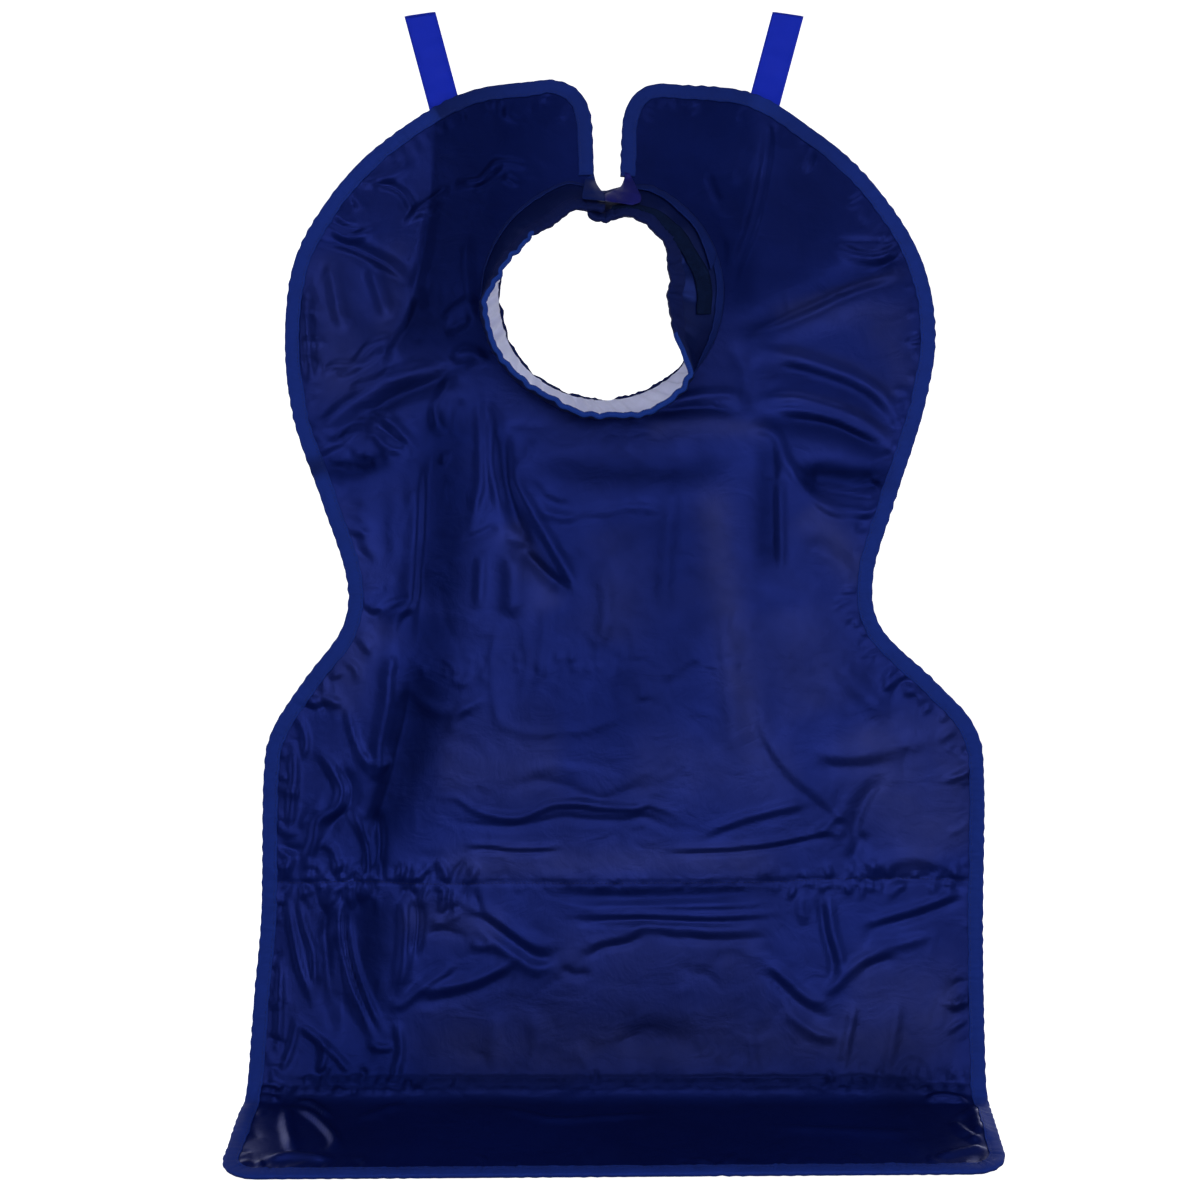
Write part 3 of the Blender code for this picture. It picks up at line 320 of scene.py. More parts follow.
    ("hip_left_fan_b", 1.4, 3, 3, ((362, 752), (372, 764), (384, 764))),
    ("hip_left_arc", 3, 5, 4,
     ((313, 744), (326, 760), (338, 778), (342, 792), (336, 808), (318, 820), (314, 842), (300, 874))),
    ("hip_left_arc_shade", -2.6, 6, 4, ((334, 764), (350, 786), (348, 808), (334, 822), (326, 840))),
    ("hip_left_long", 3, 4, 3, ((343, 800), (356, 818), (367, 846), (366, 877), (357, 906))),
    ("hip_left_long_shade", -2.2, 4, 5, ((374, 806), (380, 840), (376, 872))),
    ("hip_left_short", 1.8, 3, 3, ((318, 844), (332, 848), (340, 872))),
    ("hip_left_low", 1.6, 3, 3, ((280, 852), (292, 858), (284, 872))),
    ("hip_left_low_b", 1.5, 3, 3, ((300, 830), (310, 812), (326, 806))),
    # Under the hip seam
    ("skirt_band_shade", -1.44, 7, 5, ((540, 893), (600, 897), (680, 896), (780, 890))),
    ("skirt_ridge_a", 0.92, 2.5, 2.6,
     ((540, 901), (563, 903), (588, 908), (628, 907), (720, 905), (780, 903))),
    ("skirt_ridge_b", 1.1, 2.5, 2.5, ((558, 912), (603, 914), (653, 914), (720, 916), (788, 912))),
    ("skirt_valley_a", -0.85, 2.3, 3.3,
     ((552, 918), (587, 921), (637, 919), (670, 921), (720, 921), (780, 918))),
    ("skirt_ridge_c", 1.1, 3.1, 4.1, ((578, 930), (628, 928), (653, 926), (720, 930), (768, 928))),
    ("skirt_valley_b", -0.9, 2.8, 4.1, ((648, 934), (687, 938), (720, 940), (774, 937))),
    ("skirt_valley_rise", -0.94, 2.5, 3.3, ((582, 961), (603, 948), (628, 943), (648, 933))),
    ("skirt_rise_lit", 1.01, 3.6, 3.6, ((576, 952), (600, 940), (626, 935), (646, 926))),
    ("skirt_s_valley", -1.15, 3.7, 4.3,
     ((456, 915), (478, 917), (495, 928), (513, 941), (529, 953), (545, 958), (566, 947))),
    ("skirt_s_lit", 1.21, 6, 3.6, ((462, 907), (486, 912), (504, 924), (522, 937), (540, 946), (558, 938))),
    ("skirt_s_under", 1.44, 3.6, 6, ((474, 926), (492, 940), (512, 954), (536, 968), (560, 962))),
    ("skirt_nick_a", -1.11, 3.2, 3.2, ((424, 935), (445, 931), (468, 938))),
    ("skirt_nick_b", -1.01, 3.2, 3.2, ((438, 923), (452, 909), (466, 906))),
    ("skirt_nick_c", 1.01, 3.6, 3.6, ((470, 941), (482, 947), (494, 944))),
    ("skirt_nick_d", 1.08, 3.6, 3.6, ((430, 924), (446, 919), (462, 914))),
    ("skirt_nick_e", -1.08, 3.6, 3.6, ((560, 967), (575, 975), (592, 972))),
    ("thigh_ridge", 1.62, 4.8, 3.6,
     ((384, 998), (398, 1006), (412, 996), (428, 983), (446, 971), (458, 958))),
    ("thigh_ridge_long", 1.73, 4.8, 4.8, ((410, 992), (440, 988), (474, 980), (498, 969), (522, 957))),
    ("thigh_shade", -0.95, 4.3, 6.5, ((414, 1003), (444, 999), (476, 991), (500, 979), (520, 969))),
    ("skirt_left_a", 2, 3, 3, ((298, 891), (304, 924), (314, 956), (314, 998))),
    ("skirt_left_b", 2, 3, 3, ((286, 893), (294, 936), (300, 966), (311, 996), (315, 1014))),
    ("skirt_left_c", 3.4, 3, 4, ((344, 890), (341, 928), (348, 975), (362, 1012), (376, 1042))),
    ("skirt_left_d", 2.6, 3, 3, ((352, 892), (348, 926), (356, 970), (372, 1010), (388, 1040))),
    ("skirt_left_cleft", -2.6, 2.5, 2.5, ((348, 898), (345, 928), (352, 972), (367, 1012))),
    ("skirt_left_valley", -2.8, 6, 6, ((327, 898), (326, 940), (330, 990), (338, 1030))),
    ("skirt_left_e", 3, 6, 6, ((402, 890), (407, 930), (403, 972), (398, 998))),
    ("skirt_left_e_shade", -3, 5, 5, ((418, 892), (417, 926), (412, 962))),
    ("skirt_left_zone", -4.2, 22, 7, ((352, 886), (346, 930), (343, 990), (345, 1050))),
    ("skirt_left_edge", 2.2, 3, 3, ((280, 952), (280, 1000), (277, 1062))),
    ("skirt_left_f", 1.8, 3, 3, ((292, 1018), (318, 1039), (338, 1058), (355, 1079))),
    ("skirt_left_g", 1.7, 3, 3, ((280, 1076), (292, 1044), (299, 1010))),
    ("skirt_left_h", 1.7, 4, 3, ((396, 1018), (400, 1052), (391, 1084))),
    ("skirt_left_i", 1.4, 3, 3, ((366, 1043), (382, 1048), (394, 1046))),
    ("skirt_left_j", 1.5, 3, 3, ((318, 1076), (324, 1056), (320, 1036))),
    ("skirt_mid_a", 0.94, 7.2, 7.2, ((528, 1004), (538, 1044), (522, 1076))),
    ("skirt_mid_b", 0.72, 7.2, 7.2, ((498, 1010), (494, 1050), (500, 1076))),
    ("skirt_mid_c", 0.72, 6, 6, ((572, 1046), (590, 1068), (584, 1080))),
    ("skirt_mid_d", -1.4, 12, 12, ((610, 1040), (660, 1036), (700, 1046))),
    ("skirt_right_cleft", -1.27, 4.3, 3.2, ((819, 890), (824, 930), (832, 966), (826, 988))),
    ("skirt_right_cleft_lit", 1.58, 4.8, 3.6, ((827, 890), (832, 930), (841, 962), (838, 980))),
    ("skirt_right_s_valley", -1.1, 4.3, 4.3,
     ((758, 968), (774, 980), (790, 996), (812, 1012), (838, 1020))),
    ("skirt_right_s_lit", 1.44, 4.8, 3.6, ((766, 962), (788, 980), (808, 998), (832, 1006))),
    ("skirt_right_s_under", 1.58, 3.6, 6, ((782, 1006), (800, 1022), (820, 1034), (842, 1038))),
    ("skirt_right_rise", 1.87, 4.8, 4.8, ((819, 998), (836, 984), (852, 968), (870, 956), (900, 949))),
    ("skirt_right_rise_shade", -1.26, 4.3, 4.3, ((858, 974), (874, 964), (896, 957))),
    ("skirt_right_crease", -1.13, 3.2, 4.3, ((864, 930), (890, 923), (920, 915), (970, 895))),
    ("skirt_right_crease_lit", 1.3, 3.6, 3.6, ((858, 926), (888, 916), (918, 907), (966, 889))),
    ("skirt_right_soft", 1.15, 3.6, 4.8, ((858, 946), (896, 944), (934, 934))),
    ("skirt_right_drop_a", 1.22, 3.6, 4.8, ((856, 1000), (849, 1034), (843, 1070))),
    ("skirt_right_drop_b", 1.01, 4.8, 4.8, ((899, 996), (892, 1046), (886, 1076))),
    ("skirt_right_drop_c", 1.01, 3.6, 3.6, ((899, 1080), (903, 1066), (915, 1061), (922, 1072))),
    ("skirt_right_drop_d", 0.79, 4.8, 4.8, ((749, 1032), (757, 1078))),
    ("skirt_right_drop_e", 1.08, 3.6, 3.6, ((804, 892), (800, 908), (806, 924))),
    ("seam_right_lift", 1.12, 7.2, 6, ((852, 870), (888, 862), (920, 858), (962, 872))),
    ("seam_right_shade", -0.86, 6, 3.6, ((850, 880), (890, 881), (930, 876), (966, 882))),
    ("skirt_bow", -5, 62, 7, ((250, 1072), (460, 1074), (620, 1074), (800, 1074), (984, 1072))),
    # The curled hem
    ("hem_streak_a", 2.2, 4, 6, ((488, 1106), (520, 1114), (556, 1121), (604, 1119), (668, 1115))),
    ("hem_streak_b", 1.8, 6, 8, ((760, 1128), (820, 1131), (900, 1134), (930, 1128))),
    ("hem_streak_c", 2.2, 5, 6, ((356, 1122), (380, 1114), (406, 1104))),
    ("hem_left_a", 5.5, 4, 3.5, ((290, 1108), (304, 1113), (322, 1126), (335, 1143), (326, 1155))),
    ("hem_left_b", 4.2, 3, 3, ((296, 1101), (315, 1107), (331, 1120))),
    ("hem_left_c", 5, 5, 4, ((286, 1106), (287, 1128), (292, 1148), (300, 1158))),
    ("hem_left_d", 4, 3, 3, ((258, 1092), (268, 1090), (279, 1094))),
    ("hem_left_e", 3.6, 3, 3, ((256, 1100), (267, 1098), (280, 1103))),
    ("hem_left_f", 6, 6, 6, ((250, 1104), (243, 1122), (240, 1146))),
    ("hem_left_g", 4.5, 5, 5, ((262, 1162), (290, 1158), (318, 1160), (336, 1162))),
    ("hem_right_a", 5.5, 4, 4, ((924, 1101), (946, 1099), (970, 1104))),
    ("hem_right_b", 8, 7, 7, ((972, 1106), (978, 1122), (986, 1144))),
    ("hem_right_c", 4.5, 4, 4, ((950, 1122), (966, 1136), (986, 1146))),
    ("hem_right_d", 4, 4, 4, ((936, 1160), (960, 1154), (988, 1148))),
)

# Rows of small gathers along the sewn seams:
# (name, seed, start and end places, count, longest above and below in mm, height in mm)
GATHERS = (
    ("hip_seam_left", 11, (268, 881), (474, 884), 52, 26, 34, 2.0),
    ("hip_seam_middle", 12, (474, 884), (760, 882), 22, 8, 8, 0.7),
    ("hip_seam_right", 13, (760, 882), (968, 880), 34, 22, 18, 1.5),
    ("waist_seam", 14, (396, 664), (700, 664), 26, 18, 20, 0.7),
    ("waist_seam_right", 15, (700, 664), (880, 662), 14, 10, 10, 0.6),
    ("bend_seam_left", 16, (262, 1084), (420, 1087), 34, 20, 12, 1.7),
    ("bend_seam_middle", 17, (420, 1087), (820, 1086), 40, 18, 7, 0.9),
    ("bend_seam_right", 18, (820, 1086), (976, 1084), 28, 22, 10, 1.4),
    ("arm_seam_left", 19, (306, 459), (420, 458), 20, 12, 12, 1.0),
)

# Seams: (name, depth in mm, places)
SEAMS = (
    ("hip_seam", 0.5,
     ((266, 880), (300, 883), (360, 881), (430, 884), (500, 883), (620, 883), (760, 882), (860, 878),
      (972, 880))),
    ("bend_seam", 0.8, ((256, 1084), (340, 1087), (460, 1086), (620, 1086), (800, 1086), (980, 1084))),
)

# Painted shade: where the coat's colour is darkened and its gloss lowered to stand in for shade:
# (name, share taken off, over, under, places), read as the folds
PAINTED_SHADE_ZONES = (
    ("yoke_left", 0.52, 135, 2.5, ((437, 60), (436, 112), (434, 182), (424, 250), (410, 320), (396, 366))),
    ("yoke_right", 0.34, 16, 118, ((738, 60), (738, 125), (738, 200), (738, 270), (740, 330))),
    ("shoulder_right", 0.20, 62, 30, ((790, 90), (790, 180), (784, 250), (770, 300))),
    ("wing_valley", 0.30, 14, 4, ((740, 340), (772, 323), (806, 306), (852, 284), (920, 260))),
    ("wing_fold_a", 0.24, 2, 13, ((752, 364), (794, 367), (830, 377), (862, 391), (888, 412))),
    ("wing_fold_b", 0.36, 2, 15, ((752, 417), (800, 417), (836, 423), (868, 438), (898, 456))),
    ("bib_valley", 0.34, 4, 5, ((560, 418), (620, 415), (680, 410), (745, 412))),
    ("core", 0.46, 27, 27, ((452, 400), (446, 450), (444, 520), (438, 590), (432, 620))),
    ("core_middle", 0.44, 27, 27, ((438, 600), (430, 650), (420, 700), (405, 748), (398, 770))),
    ("core_low", 0.42, 19, 19, ((405, 748), (390, 795), (378, 845), (374, 884))),
    ("hip_left", 0.12, 15, 14, ((320, 700), (323, 760), (322, 820), (320, 876))),
    ("skirt_left", 0.34, 15, 17, ((377, 884), (376, 930), (371, 980), (374, 1024))),
    ("skirt_left_side", 0.14, 11, 11, ((322, 890), (324, 930), (328, 975), (334, 1010))),
    ("skirt_left_edge", 0.15, 8, 8, ((276, 890), (284, 930), (292, 975))),
    ("chest_band", 0.26, 10, 12, ((530, 466), (600, 468), (668, 468), (742, 464))),
    ("chest_wedge", 0.34, 5, 9, ((500, 396), (502, 440), (512, 490), (530, 540), (560, 584))),
    ("middle_top", 0.14, 60, 70, ((500, 500), (600, 500), (740, 500))),
    ("middle", 0.20, 100, 100, ((640, 500), (655, 600), (650, 700), (650, 770))),
    ("middle_patch", 0.12, 34, 34, ((510, 706), (575, 706), (640, 706))),
    ("skirt_middle", 0.16, 60, 70, ((400, 1000), (600, 1000), (800, 1000))),
    ("arm_right", 0.50, 12, 14, ((790, 474), (830, 473), (862, 475), (904, 476))),
    ("arm_left", 0.52, 9, 10, ((298, 468), (328, 468), (360, 466), (396, 456))),
    ("chest_left_under", 0.30, 3, 8,
     ((322, 442), (352, 426), (392, 398), (424, 386), (456, 370), (480, 352))),
    ("flank", 0.36, 11, 11, ((767, 436), (767, 480), (767, 530), (768, 572))),
    ("skirt_band", 0.26, 7, 8, ((530, 892), (600, 892), (700, 892), (790, 890))),
    ("skirt_low", 0.44, 52, 9, ((230, 1084), (440, 1082), (620, 1080), (800, 1082), (1000, 1084))),
)

# Painted sheen: where a grey highlight is painted into the coat's colour: (name, share, over, under,
# places), read as the folds
PAINTED_SHEEN_ZONES = (
    ("shoulder_left", 0.55, 26, 30, ((326, 240), (330, 300), (336, 350), (352, 408))),
    ("shoulder_left_strip", 0.40, 12, 14, ((396, 230), (394, 290), (380, 345))),
    ("wing_streak", 0.55, 5, 10, ((775, 316), (815, 298), (860, 284), (916, 268))),
    ("wing_fan", 0.60, 12, 16, ((764, 320), (800, 312), (850, 312), (920, 318))),
    ("wing_edge", 0.60, 14, 14, ((868, 322), (890, 345), (908, 392))),
    ("wing_fold_a", 0.50, 5, 7, ((770, 350), (810, 354), (860, 370), (905, 405))),
    ("wing_fold_b", 0.50, 4, 5, ((770, 396), (810, 397), (860, 413), (898, 442))),
    ("bib", 0.75, 7, 11, ((640, 430), (700, 424), (774, 430))),
    ("armhole_right", 0.95, 15, 15, ((800, 505), (835, 540), (868, 588))),
    ("middle_column", 0.90, 15, 17, ((712, 470), (720, 540), (732, 620), (744, 700), (762, 780))),
    ("middle_right", 0.40, 30, 34, ((790, 600), (800, 660), (820, 720))),
    ("middle_left", 0.60, 10, 20, ((508, 515), (530, 560), (558, 615))),
    ("middle_centre", 0.35, 26, 22, ((606, 520), (616, 580), (602, 650))),
    ("waist_left", 0.70, 20, 24, ((388, 612), (356, 655), (330, 715))),
    ("arm_left", 0.35, 24, 24, ((326, 500), (350, 550), (372, 600))),
    ("belly_left", 0.55, 34, 30, ((430, 760), (500, 768), (570, 764))),
    ("belly_right", 0.50, 34, 30, ((620, 768), (720, 772), (810, 768))),
    ("hip_right", 0.95, 44, 32, ((856, 716), (884, 770), (912, 820), (944, 866))),
    ("hip_right_edge", 0.60, 16, 22, ((948, 700), (956, 780), (952, 862))),
    ("seam_top", 0.90, 16, 13, ((424, 862), (520, 864), (640, 862), (790, 862))),
    ("skirt_left", 0.50, 18, 16, ((396, 912), (440, 922), (510, 932))),
    ("skirt_middle", 0.40, 26, 40, ((540, 950), (640, 954), (780, 950))),
    ("skirt_right", 0.70, 30, 46, ((840, 985), (890, 990), (966, 992))),
    ("skirt_low", 0.60, 40, 30, ((380, 1040), (600, 1046), (800, 1042), (970, 1040))),
)

# The collar, clockwise from the top as the viewer sees it: (degrees, lean, base_out, lift), as in the
# solids. Its last three rows bring the left end down to where the split closes.
COLLAR = (
    (-11.0, -0.46, -1.40, 1.0),
    (2.0, -0.55, -1.30, 1.0),
    (12.0, -0.56, -0.75, 1.0),
    (24.0, -0.60, 0.0, 0.25),
    (56.0, -0.66, 0.0, 0.0),
    (72.0, -0.78, 0.0, 0.0),
    (97.0, -0.84, 0.0, 0.0),
    (107.0, -0.77, 0.0, 0.0),
    (117.0, -0.65, 0.0, 0.0),
    (124.0, -0.50, 0.0, 0.0),
    (130.0, -0.24, 0.0, 0.0),
    (136.0, 0.06, 0.0, 0.0),
    (144.0, 0.17, 0.0, 0.0),
    (160.0, 0.20, 0.0, 0.0),
    (190.0, 0.13, 0.0, 0.0),
    (205.0, 0.05, 0.0, 0.0),
    (240.0, 0.04, 0.0, 0.0),
    (262.0, -0.03, 0.0, 0.0),
    (277.0, -0.27, 0.0, 0.0),
    (304.0, -0.48, 0.0, 0.0),
    (325.0, -0.56, 0.0, 0.0),
    (343.0, -0.52, 0.0, 0.3),
    (352.0, -0.47, -0.75, 1.0),
    (361.5, -0.40, -1.55, 1.7),
)
TAB_LIFT = 0.0045
COLLAR_BULGE = 0.0028
FOOT_ROOM = 0.0004
COLLAR_THICKNESS = 0.002
LINING_THICKNESS = 0.001
RIBBON_THICKNESS = 0.001
CLEARANCE = 0.0003
NECK_EDGE_SHOWS = 0.0012
TAB_SPLIT_DEG = 16.0

# The closure tape's two long edges on the collar, as places of the front view
TAPE_OUTER = (
    (613, 205.5), (624, 203.5), (640, 204.5), (655, 209), (668, 216.5), (680, 227), (690, 240), (700, 257),
    (708, 271), (711.5, 284), (712, 299), (711, 314),
)
TAPE_INNER = (
    (611, 209.5), (624, 208.5), (639, 209.5), (650, 213.5), (660, 222), (668, 232), (676, 243.5),
    (684, 256), (691, 269), (696, 284), (697.5, 299), (697, 314),
)

# The two bound corners that close the split over the collar's foot: left and right outlines, each from
# its top down, as places of the front view
SPLIT_CORNER_RIGHT = (
    ((624.5, 172), (624, 179), (620, 187), (612, 191), (604.5, 194.5), (605, 201)),
    ((630, 174), (633, 180), (637, 188), (641, 196), (640, 202), (632, 205)),
)
SPLIT_CORNER_LEFT = (
    ((586, 178), (584, 184), (583, 190), (582, 195), (583, 199)),
    ((594, 174), (596, 182), (599.5, 188), (604.5, 194.5), (605, 201)),
)
SPLIT_CORNER_TOP_ROW = 172
SPLIT_CORNER_THICKNESS = 0.0011
TIP_ROUNDING = 0.009

# ---- Shapes of the cut ----


def smoothstep(share):
    held = np.clip(share, 0.0, 1.0)
    return held * held * (3.0 - 2.0 * held)


def unit(vectors):
    return vectors / np.linalg.norm(vectors, axis=-1)[..., None]


def distance_along(points):
    return np.concatenate([[0.0], np.cumsum(np.linalg.norm(np.diff(points, axis=0), axis=1))])


def resampled(points, along, wanted):
    """The points of a line at the wanted distances, where along holds the distance of each given one."""
    return np.stack([np.interp(wanted, along, column) for column in points.T], 1)


def through(knots, per_span=12):
    """A smooth curve through the knots, as an array of close points."""
    knots = np.asarray(knots, float)
    padded = np.vstack([2 * knots[0] - knots[1], knots, 2 * knots[-1] - knots[-2]])
    points = [knots[0]]
    for before, start, end, after in zip(padded, padded[1:], padded[2:], padded[3:]):
        for t in np.arange(1, per_span + 1) / per_span:
            points.append(
                0.5
                * (
                    2 * start
                    + (end - before) * t
                    + (2 * before - 5 * start + 4 * end - after) * t**2
                    + (3 * start - before - 3 * end + after) * t**3
                )
            )
    return np.array(points)


def evenly(points, step):
    """The same line, with points about step apart, and the distance along it of each."""
    along = distance_along(points)
    wanted = np.linspace(0.0, along[-1], max(2, round(along[-1] / step) + 1))
    return resampled(points, along, wanted), wanted


def neck_point(degrees, out=0.0):
    """A flat point on the neck opening's edge, out further from its centre, clockwise from the top."""
    turn = np.radians(degrees)
    across = NECK_SHIFT + (NECK_HALF_WIDTH + out) * np.sin(turn)
    return np.stack([across, NECK_DEPTH - (NECK_HALF_HEIGHT + out) * np.cos(turn)], -1)


def split_x(side, down):
    """Where the split's right (1) or left (-1) edge lies this far down."""
    neck_top = NECK_DEPTH - NECK_HALF_HEIGHT
    width = SPLIT_WIDTH + (SPLIT_WIDTH_AT_NECK - SPLIT_WIDTH) * min(1.0, down / neck_top)
    return BODY_SHIFT * 0.5 + side * width / 2


def split_degrees(side, out):
    """The turn at which the neck's edge, out further from its centre, meets the split's edge."""
    down = NECK_DEPTH - NECK_HALF_HEIGHT - out
    reach = split_x(side, down) - NECK_SHIFT
    return math.degrees(math.asin(reach / (NECK_HALF_WIDTH + out)))


def edge_knots(rows):
    return np.array([(BODY_SHIFT + across * HALF_WIDTH, down * BODY_LENGTH) for _, across, down in rows])


def flap_corner(side, flap_top, steps=12):
    """The flap's rounded corner, from the split's edge up to the flap's top."""
    corner = np.array((split_x(side, flap_top[1]), flap_top[1]))
    down = corner[1] + FLAP_CORNER_REACH
    start = np.array((split_x(side, down), down))
    shares = np.linspace(0.0, 1.0, steps + 1)[:, None]
    return start * (1 - shares) ** 2 + corner * 2 * shares * (1 - shares) + flap_top * shares**2


def corner_arc(corner, start_way, end_way, steps=10):
    """A hem corner's arc, between the unit ways from the corner to its two ends."""
    centre = corner + (start_way + end_way) * HEM_CORNER_RADIUS
    turns = np.radians(np.linspace(0.0, 90.0, steps + 1))[:, None]
    return centre - (start_way * np.sin(turns) + end_way * np.cos(turns)) * HEM_CORNER_RADIUS


def outer_edge():
    """The bound edge: right split, right side, hem, left side and left split."""
    start_out = COLLAR_MARGIN + EDGE_FROM_COLLAR
    ends = {}
    sides = {}
    for side, rows in ((1, RIGHT_EDGE), (-1, LEFT_EDGE)):
        knots = edge_knots(rows)
        low = neck_point(split_degrees(side, start_out), start_out)
        ends[side] = np.vstack([low, flap_corner(side, knots[0])])
        sides[side] = through(knots)
    hem = BODY_LENGTH + LIP_LENGTH
    right_corner = np.array((sides[1][-1][0], hem - HEM_SKEW))
    left_corner = np.array((sides[-1][-1][0] - HEM_SKEW, hem + HEM_SKEW))
    along = unit(left_corner - right_corner)
    up = np.array((0.0, -1.0))
    bottom = np.vstack([corner_arc(right_corner, up, along), corner_arc(left_corner, -along, up)])
    return np.vstack([ends[1][:-1], sides[1], bottom, sides[-1][::-1], ends[-1][:-1][::-1]])


def inward_ways(points):
    """The unit way to the inside at each point of the clockwise edge."""
    ways = unit(np.gradient(points, axis=0))
    return np.stack([-ways[:, 1], ways[:, 0]], 1)


def nearest_on(flat, line):
    """(distance to the line, share along it, signed side) of each flat point."""
    starts, ways = line[:-1], np.diff(line, axis=0)
    from_start = flat[:, None, :] - starts[None]
    along = np.clip((from_start * ways).sum(2) / np.maximum((ways**2).sum(1), 1e-18), 0.0, 1.0)
    away = from_start - along[..., None] * ways
    gaps = np.einsum("ijk,ijk->ij", away, away)
    nearest = gaps.argmin(1)
    rows = np.arange(len(flat))
    cross = ways[nearest, 0] * away[rows, nearest, 1] - ways[nearest, 1] * away[rows, nearest, 0]
    share = (nearest + along[rows, nearest]) / len(ways)
    return np.sqrt(gaps[rows, nearest]), share, np.sign(cross)


def inside_polygon(points, polygon):
    found = np.zeros(len(points), bool)
    for (x0, y0), (x1, y1) in zip(polygon, np.roll(polygon, -1, axis=0)):
        if y0 != y1:
            at = x0 + (points[:, 1] - y0) / (y1 - y0) * (x1 - x0)
            found ^= ((y0 > points[:, 1]) != (y1 > points[:, 1])) & (points[:, 0] < at)
    return found


# ---- How the sheet hangs ----


def hang_profile():
    """(distances down the cloth, y, z, tilt in radians) of the plain sheet's side view."""
    shares, degrees = zip(*HANG)
    bend_start = BODY_LENGTH - BEND_LENGTH / 2
    downs = [min(share * BODY_LENGTH, bend_start) for share in shares]
    downs += [BODY_LENGTH + BEND_LENGTH / 2, BODY_LENGTH + LIP_LENGTH]
    degrees = [*degrees, LIP_TILT_DEG, LIP_END_TILT_DEG]
    down = np.linspace(-PROFILE_SPARE, BODY_LENGTH + LIP_LENGTH + PROFILE_SPARE, PROFILE_POINTS)
    tilt = np.radians(np.interp(down, downs, degrees))
    step = down[1] - down[0]
    y = -np.cumsum(np.sin(tilt)) * step
    z = -np.cumsum(np.cos(tilt)) * step
    top = np.searchsorted(down, 0.0)
    return down, y - y[top] - TOP_FORWARD, z - z[top] - LOOP_DROP, tilt


DOWNS, PROFILE_Y, PROFILE_Z, PROFILE_TILT = hang_profile()


def seen_at(column, row, y):
    """The world x and z of the front view's place at this depth."""
    size = GRID * (CAMERA_DISTANCE + y) / CAMERA_DISTANCE
    return (column - VIEW_MIDDLE) * size + CAMERA_X, (VIEW_MIDDLE - row) * size + CAMERA_Z


def seen_place(points):
    """The column and the row of the front view where world points show."""
    size = GRID * (CAMERA_DISTANCE + points[..., 1]) / CAMERA_DISTANCE
    right, up = points[..., 0] - CAMERA_X, points[..., 2] - CAMERA_Z
    return VIEW_MIDDLE + right / size, VIEW_MIDDLE - up / size


PROFILE_ROW = seen_place(np.stack([PROFILE_Z * 0.0, PROFILE_Y, PROFILE_Z], 1))[1]


def flat_at(places):
    """The flat points of the cloth that the front view shows at these places."""
    columns, rows = np.asarray(places, float).T
    down = np.interp(rows, PROFILE_ROW, DOWNS)
    across, _ = seen_at(columns, rows, np.interp(down, DOWNS, PROFILE_Y))
    return np.stack([across, down], 1)


def cloth_line(places, step=FOLD_STEP):
    """The smooth line on the flat cloth through these places of the front view."""
    return evenly(through(flat_at(places)), step)[0]


def add_fold(lift, flat, height, over, under, curve, taper=0.28, power=2):
    """Adds one fold, in millimetres, to the lift in metres of each flat point near it. taper is the
    share of its length that each end takes to fade."""
    reach = FOLD_REACH * max(over, under)
    low, high = curve.min(0) - reach, curve.max(0) + reach
    near = np.flatnonzero(((flat > low) & (flat < high)).all(1))
    if not len(near):
        return
    gap, share, side = nearest_on(flat[near], curve)
    width = np.where(side > 0, under, over) * MM
    ends = smoothstep(np.minimum(share, 1.0 - share) / taper + 0.05)
    lift[near] += height * MM * ends * np.exp(-((gap / width) ** power))


def gathers(seed, start, end, count, above, below, height):
    """Small folds that run up and down from a sewn seam, each as (height, over, under, curve)."""
    rng = random.Random(seed)
    ends = flat_at([start, end])
    made = []
    for number in range(count):
        share = (number + rng.uniform(0.1, 0.9)) / count
        place = ends[0] + (ends[1] - ends[0]) * share
        for way, longest in ((-1, above), (1, below)):
            if rng.random() < GATHER_GAPS:
                continue
            length = longest * MM * rng.uniform(0.3, 1.0) ** 1.4
            lean = rng.gauss(0.0, 0.28)
            bend = rng.gauss(0.0, 0.16)
            tip = place + np.array((lean * length, way * length))
            middle = (place + tip) / 2 + np.array((bend * length, 0.0))
            tall = height * rng.uniform(0.5, 1.0) * (1 if rng.random() < 0.7 else -0.8)
            wide = rng.uniform(1.8, 3.4)
            made.append((tall, wide, wide * rng.uniform(0.8, 1.3), through([place, middle, tip], 5)))
    return made


def edge_gathers(seed, edge, count):
    """Small strains that run in from the bound edge, mostly a little downwards."""
    rng = random.Random(seed)
    inward = inward_ways(edge)
    made = []
    for _ in range(count):
        at = rng.randrange(10, len(edge) - 10)
        way = unit(inward[at] + np.array((rng.gauss(0.0, 0.45), rng.gauss(0.45, 0.35))))
        length = STRAIN_LENGTH * rng.uniform(0.25, 1.0) ** 1.2
        start = edge[at] + inward[at] * STRAIN_START
        side = np.array((-way[1], way[0])) * rng.gauss(0.0, 0.14) * length
        tall = rng.uniform(0.5, 1.7) * rng.choice((-1, 1, 1))
        wide = rng.uniform(1.8, 3.6)
        curve = through([start, start + way * length / 2 + side, start + way * length], 5)
        made.append((tall, wide, wide * rng.uniform(0.8, 1.4), curve))
    return made


